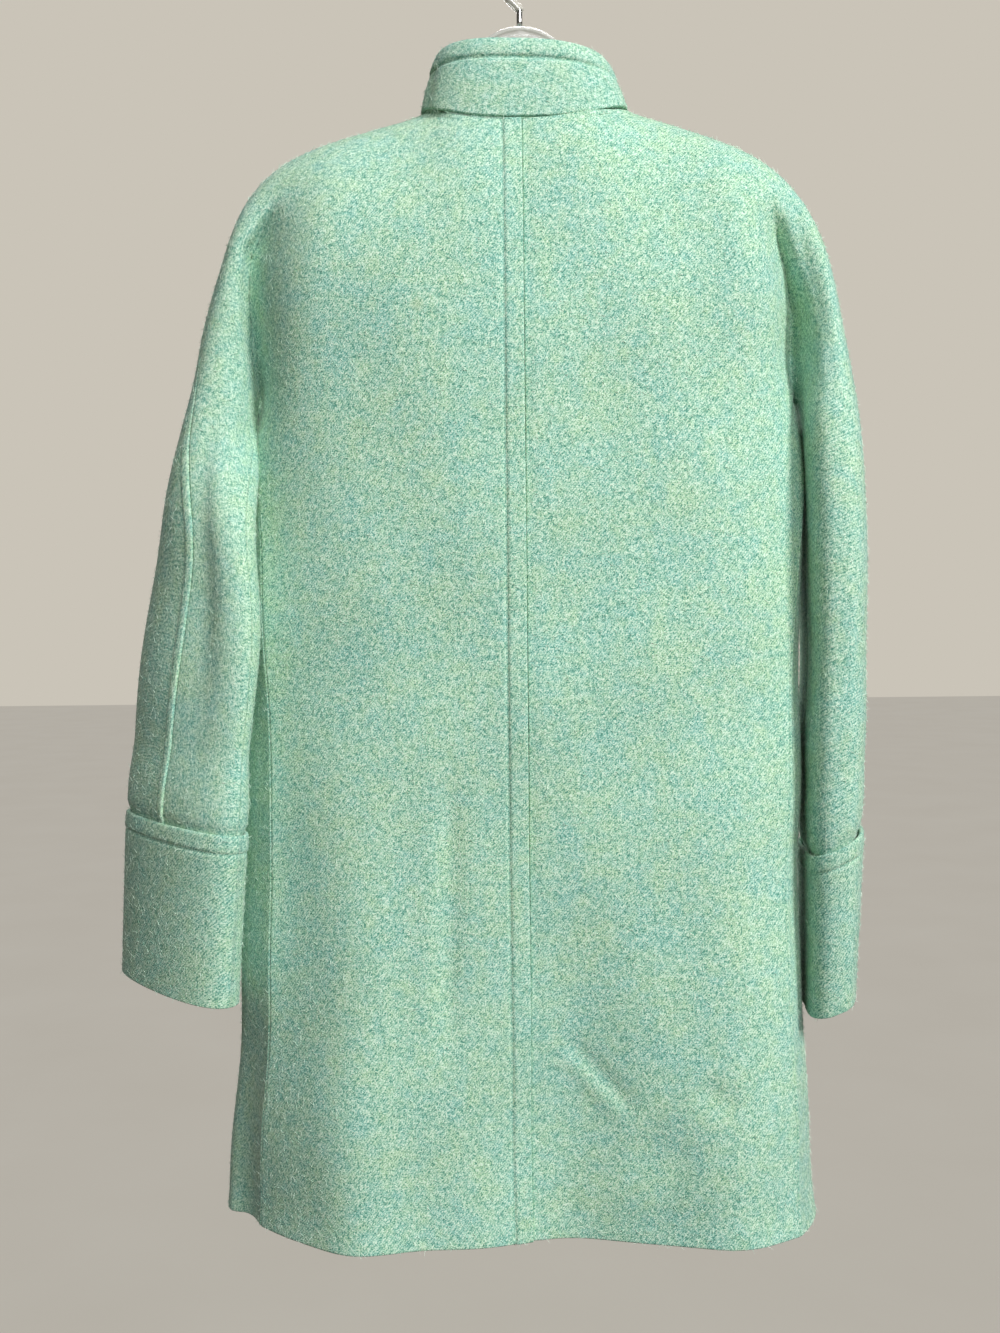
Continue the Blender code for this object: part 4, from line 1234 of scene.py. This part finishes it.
for name, piece in hard.items():
    piece.data.materials.append(make_hard(HARD_FINISHES[name]))
print("hard finishes:", [finish.slot for finish in HARD_FINISHES.values()])

# %% [markdown]
# ## Stitches
# The topstitching is a row of short stitches of thread that sink into the felt. Geometry Nodes set one small
# stitch at even steps along each row and turn it along the row, which would be tedious by hand. The row
# itself is taken from the cloth's own grid, so it follows every crease.

# %% Growing pieces with Geometry Nodes
def new_tree(name, inputs):
    """A Geometry Nodes tree with geometry in and out and named inputs, and the sockets that give them."""
    tree = bpy.data.node_groups.new(name, "GeometryNodeTree")
    tree.interface.new_socket("Geometry", in_out="INPUT", socket_type="NodeSocketGeometry")
    for label, kind in inputs.items():
        tree.interface.new_socket(label, in_out="INPUT", socket_type=kind)
    tree.interface.new_socket("Geometry", in_out="OUTPUT", socket_type="NodeSocketGeometry")
    return tree, tree.nodes.new("NodeGroupInput").outputs


def finish_tree(tree, shape, coats):
    """End a tree with Realize Instances and one Set Material for each (material, selection) pair."""
    shape = add_node(tree, "GeometryNodeRealizeInstances", {0: shape}).outputs[0]
    for material, chosen in coats:
        shape = add_node(tree, "GeometryNodeSetMaterial",
                         {"Geometry": shape, "Selection": chosen, "Material": material}).outputs[0]
    tree.links.new(shape, tree.nodes.new("NodeGroupOutput").inputs[0])


def grow(name, points, edges, faces, tree, values):
    """Run a tree on a carrier mesh and keep what it makes as a plain mesh."""
    mesh = bpy.data.meshes.new(name + "_carrier")
    mesh.from_pydata(points.tolist(), edges, faces)
    carrier = bpy.data.objects.new(name + "_carrier", mesh)
    bpy.context.scene.collection.objects.link(carrier)
    modifier = carrier.modifiers.new("grow", "NODES")
    modifier.node_group = tree
    for item in tree.interface.items_tree:
        if item.in_out == "INPUT" and item.name in values:
            modifier[item.identifier] = values[item.name]
    grown = bpy.data.meshes.new_from_object(carrier.evaluated_get(bpy.context.evaluated_depsgraph_get()))
    bpy.data.objects.remove(carrier)
    bpy.data.meshes.remove(mesh)
    piece = bpy.data.objects.new(name, grown)
    bpy.context.scene.collection.objects.link(piece)
    return piece


# %% Thread and stitch tree
# Spun polyester thread gives the eye a soft twist of plies, a little brighter than the wool around it
THREAD_PLY, THREAD_DARK, THREAD_LIGHT = 0.6 * MM, "#6fae9d", "#a9d8c4"
thread, thread_shader = new_material("polyester_thread", Roughness=0.6)
ply = add_node(thread.node_tree, "ShaderNodeTexNoise", {
    "Vector": add_node(thread.node_tree, "ShaderNodeTexCoord").outputs["Object"], "Scale": 1 / THREAD_PLY})
ply_tone = add_node(thread.node_tree, "ShaderNodeMix", {
    0: ply.outputs["Fac"], 6: linear(THREAD_DARK), 7: linear(THREAD_LIGHT)}, data_type="RGBA")
thread.node_tree.links.new(ply_tone.outputs[2], thread_shader.inputs["Base Color"])

stitch_tree, given = new_tree("stitch_row", {
    "Spacing": "NodeSocketFloat", "Stitch length": "NodeSocketFloat", "Thread radius": "NodeSocketFloat"})
line = add_node(stitch_tree, "GeometryNodeMeshToCurve", {"Mesh": given["Geometry"]})
spots = add_node(stitch_tree, "GeometryNodeResampleCurve",
                 {"Curve": line.outputs[0], "Length": given["Spacing"]}, mode="LENGTH")
ball = add_node(stitch_tree, "GeometryNodeMeshUVSphere", {"Segments": 6, "Rings": 4, "Radius": 0.5})
form = add_node(stitch_tree, "ShaderNodeCombineXYZ", {
    "X": given["Stitch length"], "Y": given["Thread radius"], "Z": given["Thread radius"]})
stitch = add_node(stitch_tree, "GeometryNodeTransform", {
    "Geometry": ball.outputs[0], "Scale": form.outputs[0]})
heading = add_node(stitch_tree, "FunctionNodeAlignRotationToVector", {
    "Vector": add_node(stitch_tree, "GeometryNodeInputTangent").outputs[0]}, axis="X")
sewn = add_node(stitch_tree, "GeometryNodeInstanceOnPoints", {
    "Points": spots.outputs[0], "Instance": stitch.outputs[0], "Rotation": heading.outputs[0]})
finish_tree(stitch_tree, sewn.outputs[0], ((thread, True),))
print("stitch tree: nodes", len(stitch_tree.nodes))

# %% Stitch rows
STITCH_SIZES = {"Spacing": 3.4 * MM, "Stitch length": 2.7 * MM, "Thread radius": 0.9 * MM}
ROW_AT = len(EDGE_LINES) + 1 + len(STITCH_LINES) // 2
OVER_ROW = -(len(EDGE_LINES) + len(STITCH_LINES) // 2)
rows = {"back_left": np.concatenate((
    quarters["back_left"].body[:, ROW_AT], quarters["back_left"].upper[1:, ROW_AT]))}
rows["collar"] = collar_index[-1 - ROW_AT]
for name, index in cuff_index.items():
    rows[name] = np.append(index[ROW_AT], index[ROW_AT, 0])
for name in ("front_left", "front_right"):
    row = quarters[name].upper[OVER_ROW]
    rows[name] = row[outer_faces[name][row, 2] < OVER_START_Z - OVER_FADE / 2]
trims = {name: [] for name in cloth}
for name, row in rows.items():
    steps = [(number, number + 1) for number in range(len(row) - 1)]
    trims[name].append(
        grow("stitches_" + name, outer_faces[name][row], steps, [], stitch_tree, STITCH_SIZES))
print("stitches:", {name: len(pieces[0].data.polygons) for name, pieces in trims.items() if pieces})

# %% [markdown]
# ## Loose fibres
# Felted wool is never clean at its surface: short loose fibres lie curled on it and stand out at its edges,
# where the eye meets them one by one as fine hairs. A particle system could make them, but its hairs aren't
# exported, so Geometry Nodes scatter tapered fibres over each outer face, tilted almost flat, in three of the
# yarn's colours. Real wool is about 0.03 mm thick; these are drawn ten times as thick so that they show.

# %% Fibre tree
Fibre = namedtuple("Fibre", "name colour below")
FIBRES = (
    Fibre("cream", "#dff3e2", 1.0), Fibre("mint", "#a9dac6", 0.55), Fibre("teal", "#5d9c90", 0.2),
)
fibre_tree, given = new_tree("loose_fibres", {
    "Density": "NodeSocketFloat", "Length": "NodeSocketFloat", "Radius": "NodeSocketFloat",
    "Seed": "NodeSocketInt"})
LEAST_TILT, MOST_TILT = math.radians(55), math.radians(86)
SHORTEST, LONGEST = 0.5, 1.3
spots = add_node(fibre_tree, "GeometryNodeDistributePointsOnFaces", {
    "Mesh": given["Geometry"], "Density": given["Density"], "Seed": given["Seed"]})
tone = add_node(fibre_tree, "FunctionNodeRandomValue", {"Seed": given["Seed"]}, data_type="FLOAT")
toned = add_node(fibre_tree, "GeometryNodeStoreNamedAttribute", {
    "Geometry": spots.outputs["Points"], "Name": "tone", "Value": tone.outputs[1]}, data_type="FLOAT")
lean = add_node(fibre_tree, "FunctionNodeRandomValue", {
    0: (LEAST_TILT, 0, 0), 1: (MOST_TILT, 0, math.tau), "Seed": given["Seed"]}, data_type="FLOAT_VECTOR")
euler = add_node(fibre_tree, "FunctionNodeEulerToRotation", {0: lean.outputs[0]})
turned = add_node(fibre_tree, "FunctionNodeRotateRotation", {
    "Rotation": spots.outputs["Rotation"], "Rotate By": euler.outputs[0]}, rotation_space="LOCAL")
size = add_node(fibre_tree, "FunctionNodeRandomValue", {
    2: SHORTEST, 3: LONGEST, "Seed": given["Seed"]}, data_type="FLOAT")
cone = add_node(fibre_tree, "GeometryNodeMeshCone", {
    "Vertices": 3, "Radius Bottom": given["Radius"], "Depth": given["Length"]}, fill_type="NONE")
grown = add_node(fibre_tree, "GeometryNodeInstanceOnPoints", {
    "Points": toned.outputs[0], "Instance": cone.outputs[0], "Rotation": turned.outputs[0],
    "Scale": size.outputs[1]})
kept_tone = add_node(fibre_tree, "GeometryNodeInputNamedAttribute", {"Name": "tone"}, data_type="FLOAT")
coats = []
for fibre in FIBRES:
    below = add_node(fibre_tree, "FunctionNodeCompare", {0: kept_tone.outputs[0], 1: fibre.below},
                     operation="LESS_EQUAL")
    coat, _ = new_material("loose_wool_" + fibre.name, Base_Color=linear(fibre.colour), Roughness=0.9)
    coats.append((coat, below.outputs[0]))
finish_tree(fibre_tree, grown.outputs[0], coats)
print("fibre tree: nodes", len(fibre_tree.nodes))

# %% Fibres on every felt piece
FIBRE_SIZES = {"Density": 60000.0, "Length": 4.5 * MM, "Radius": 0.15 * MM}
for number, name in enumerate(cloth):
    count = len(outer_faces[name])
    faces = [list(face.vertices) for face in cloth[name].data.polygons if max(face.vertices) < count]
    trims[name].append(grow(
        "fuzz_" + name, outer_faces[name], [], faces, fibre_tree, {**FIBRE_SIZES, "Seed": number + 1}))
print("fibres:", {name: len(pieces[-1].data.polygons) for name, pieces in trims.items()})

# %% [markdown]
# ## Floor, light and camera
# A pale floor lies well below the hanging coat. The light on the coat is soft and comes from behind the
# camera, above and to the right, so that the left sleeve and the lower parts fall into half shade. One lamp
# would leave the unseen front black, so a key box to the right and a weaker one near the camera light the
# back, a fill lights the front, and a faint box hangs above. A wash of its own lights the floor, and a pale
# surround lies behind everything. The camera stands where the photograph was taken, about half way down.

# %% Floor
FLOOR_Z, FLOOR_HALF, FLOOR_CLOUD = -1.62, 14.0, 1 / 3
FLOOR_CORNERS = ((-1, -1), (1, -1), (1, 1), (-1, 1))
floor_points = np.array([(FLOOR_HALF * x, FLOOR_HALF * y, FLOOR_Z) for x, y in FLOOR_CORNERS])
floor = add_piece("studio_floor", floor_points, [[0, 1, 2, 3]])
# Matt paint gives the eye an even, pale ground with slow and faint clouds
paint, paint_shader = new_material("matt_floor_paint", Roughness=0.85)
clouds = add_node(paint.node_tree, "ShaderNodeTexNoise", {
    "Vector": add_node(paint.node_tree, "ShaderNodeTexCoord").outputs["Object"], "Scale": 1 / FLOOR_CLOUD,
    "Detail": 3})
tint = add_node(paint.node_tree, "ShaderNodeMix", {
    0: clouds.outputs["Fac"], 6: linear("#d9d3c8"), 7: linear("#e0dbd1")}, data_type="RGBA")
paint.node_tree.links.new(tint.outputs[2], paint_shader.inputs["Base Color"])
floor.data.materials.append(paint)
floor.visible_diffuse = False
print("floor: height", FLOOR_Z)

# %% Surround
world = bpy.data.worlds.new("pale_surround")
bpy.context.scene.world = world
world.use_nodes = True
surround = world.node_tree.nodes["Background"]
surround.inputs["Color"].default_value = linear("#cac4b8")
SEEN_STRENGTH, LIT_STRENGTH = 1.0, 0.16
rays = add_node(world.node_tree, "ShaderNodeLightPath").outputs["Is Camera Ray"]
strength = add_node(world.node_tree, "ShaderNodeMapRange", {
    "Value": rays, 3: LIT_STRENGTH, 4: SEEN_STRENGTH})
world.node_tree.links.new(strength.outputs[0], surround.inputs["Strength"])
print("surround: seen", SEEN_STRENGTH, "as light", LIT_STRENGTH)

# %% Lamps
lit = {name: bpy.data.collections.new(name) for name in ("lit_floor", "lit_coat")}
lit["lit_floor"].objects.link(floor)
for piece in [*cloth.values(), *hard.values(), *(trim for pieces in trims.values() for trim in pieces)]:
    lit["lit_coat"].objects.link(piece)
Lamp = namedtuple("Lamp", "name kind place aim size power lights")
LAMPS = (
    Lamp("key_box", "AREA", (3.2, -3.57, 2.4), (0, 0, -0.5), 1.3, 275, "lit_coat"),
    Lamp("camera_box", "AREA", (0.83, -4.72, 2.6), (0, 0, -0.5), 1.6, 140, "lit_coat"),
    Lamp("front_fill", "AREA", (-0.6, 4.6, 0.6), (0, 0, -0.5), 1.6, 150, "lit_coat"),
    Lamp("top_box", "AREA", (0.2, -0.5, 2.2), (0, 0, -0.4), 1.6, 5, "lit_coat"),
    Lamp("floor_wash", "SUN", (0, 0, 6.0), (0, 0, 0), 0.5, 1.75, "lit_floor"),
)
for row in LAMPS:
    lamp = bpy.data.lights.new(row.name, row.kind)
    lamp.energy = row.power
    if row.kind == "AREA":
        lamp.size = row.size
    else:
        lamp.angle = row.size
    holder = bpy.data.objects.new(row.name, lamp)
    holder.location = row.place
    holder.rotation_euler = (Vector(row.aim) - Vector(row.place)).to_track_quat("-Z", "Y").to_euler()
    holder.light_linking.receiver_collection = lit[row.lights]
    bpy.context.scene.collection.objects.link(holder)
print("lamps:", [row.name for row in LAMPS])

# %% Camera
CAMERA_PLACE = Vector((-0.0207, -1.079, -0.5367))
CAMERA_TILT, CAMERA_ROLL = math.radians(2.624), math.radians(0.592)
PHOTO_HEIGHT, LENS = 1333, 1333
VIEW_ANGLE = 2 * math.atan(PHOTO_HEIGHT / (2 * LENS))
lens = bpy.data.cameras.new("photo_camera")
lens.sensor_fit = "VERTICAL"
lens.angle = VIEW_ANGLE
camera = bpy.data.objects.new("photo_camera", lens)
ahead = Vector((0, math.cos(CAMERA_TILT), -math.sin(CAMERA_TILT)))
level, upright = Vector((1, 0, 0)), Vector((0, math.sin(CAMERA_TILT), math.cos(CAMERA_TILT)))
right = math.cos(CAMERA_ROLL) * level - math.sin(CAMERA_ROLL) * upright
up_axis = math.sin(CAMERA_ROLL) * level + math.cos(CAMERA_ROLL) * upright
turn = Matrix((right, up_axis, -ahead)).transposed().to_4x4()
camera.matrix_world = Matrix.Translation(CAMERA_PLACE) @ turn
bpy.context.scene.collection.objects.link(camera)
bpy.context.scene.camera = camera
bpy.context.scene.view_settings.view_transform = "Standard"
print("camera:", [round(v, 4) for v in CAMERA_PLACE])

# %% [markdown]
# ## Tying the pieces to the frame
# Every piece rides on the model's one body and takes the place of its CAD node. The felt pieces are sheets.
# Stitches and fibres are trimmings of the sheet that they lie on, so they go where it goes.

# %% Riding and replacing
Cut = namedtuple("Cut", "width length area hangs_from")
for name, piece in cloth.items():
    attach(piece, "root")
    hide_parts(name)
    for trim in trims[name]:
        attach(trim, "root")
for name, piece in hard.items():
    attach(piece, "root")
    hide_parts(name)
print("pieces:", len(cloth), "of felt,", sum(map(len, trims.values())), "trimmings,", len(hard), "hard")
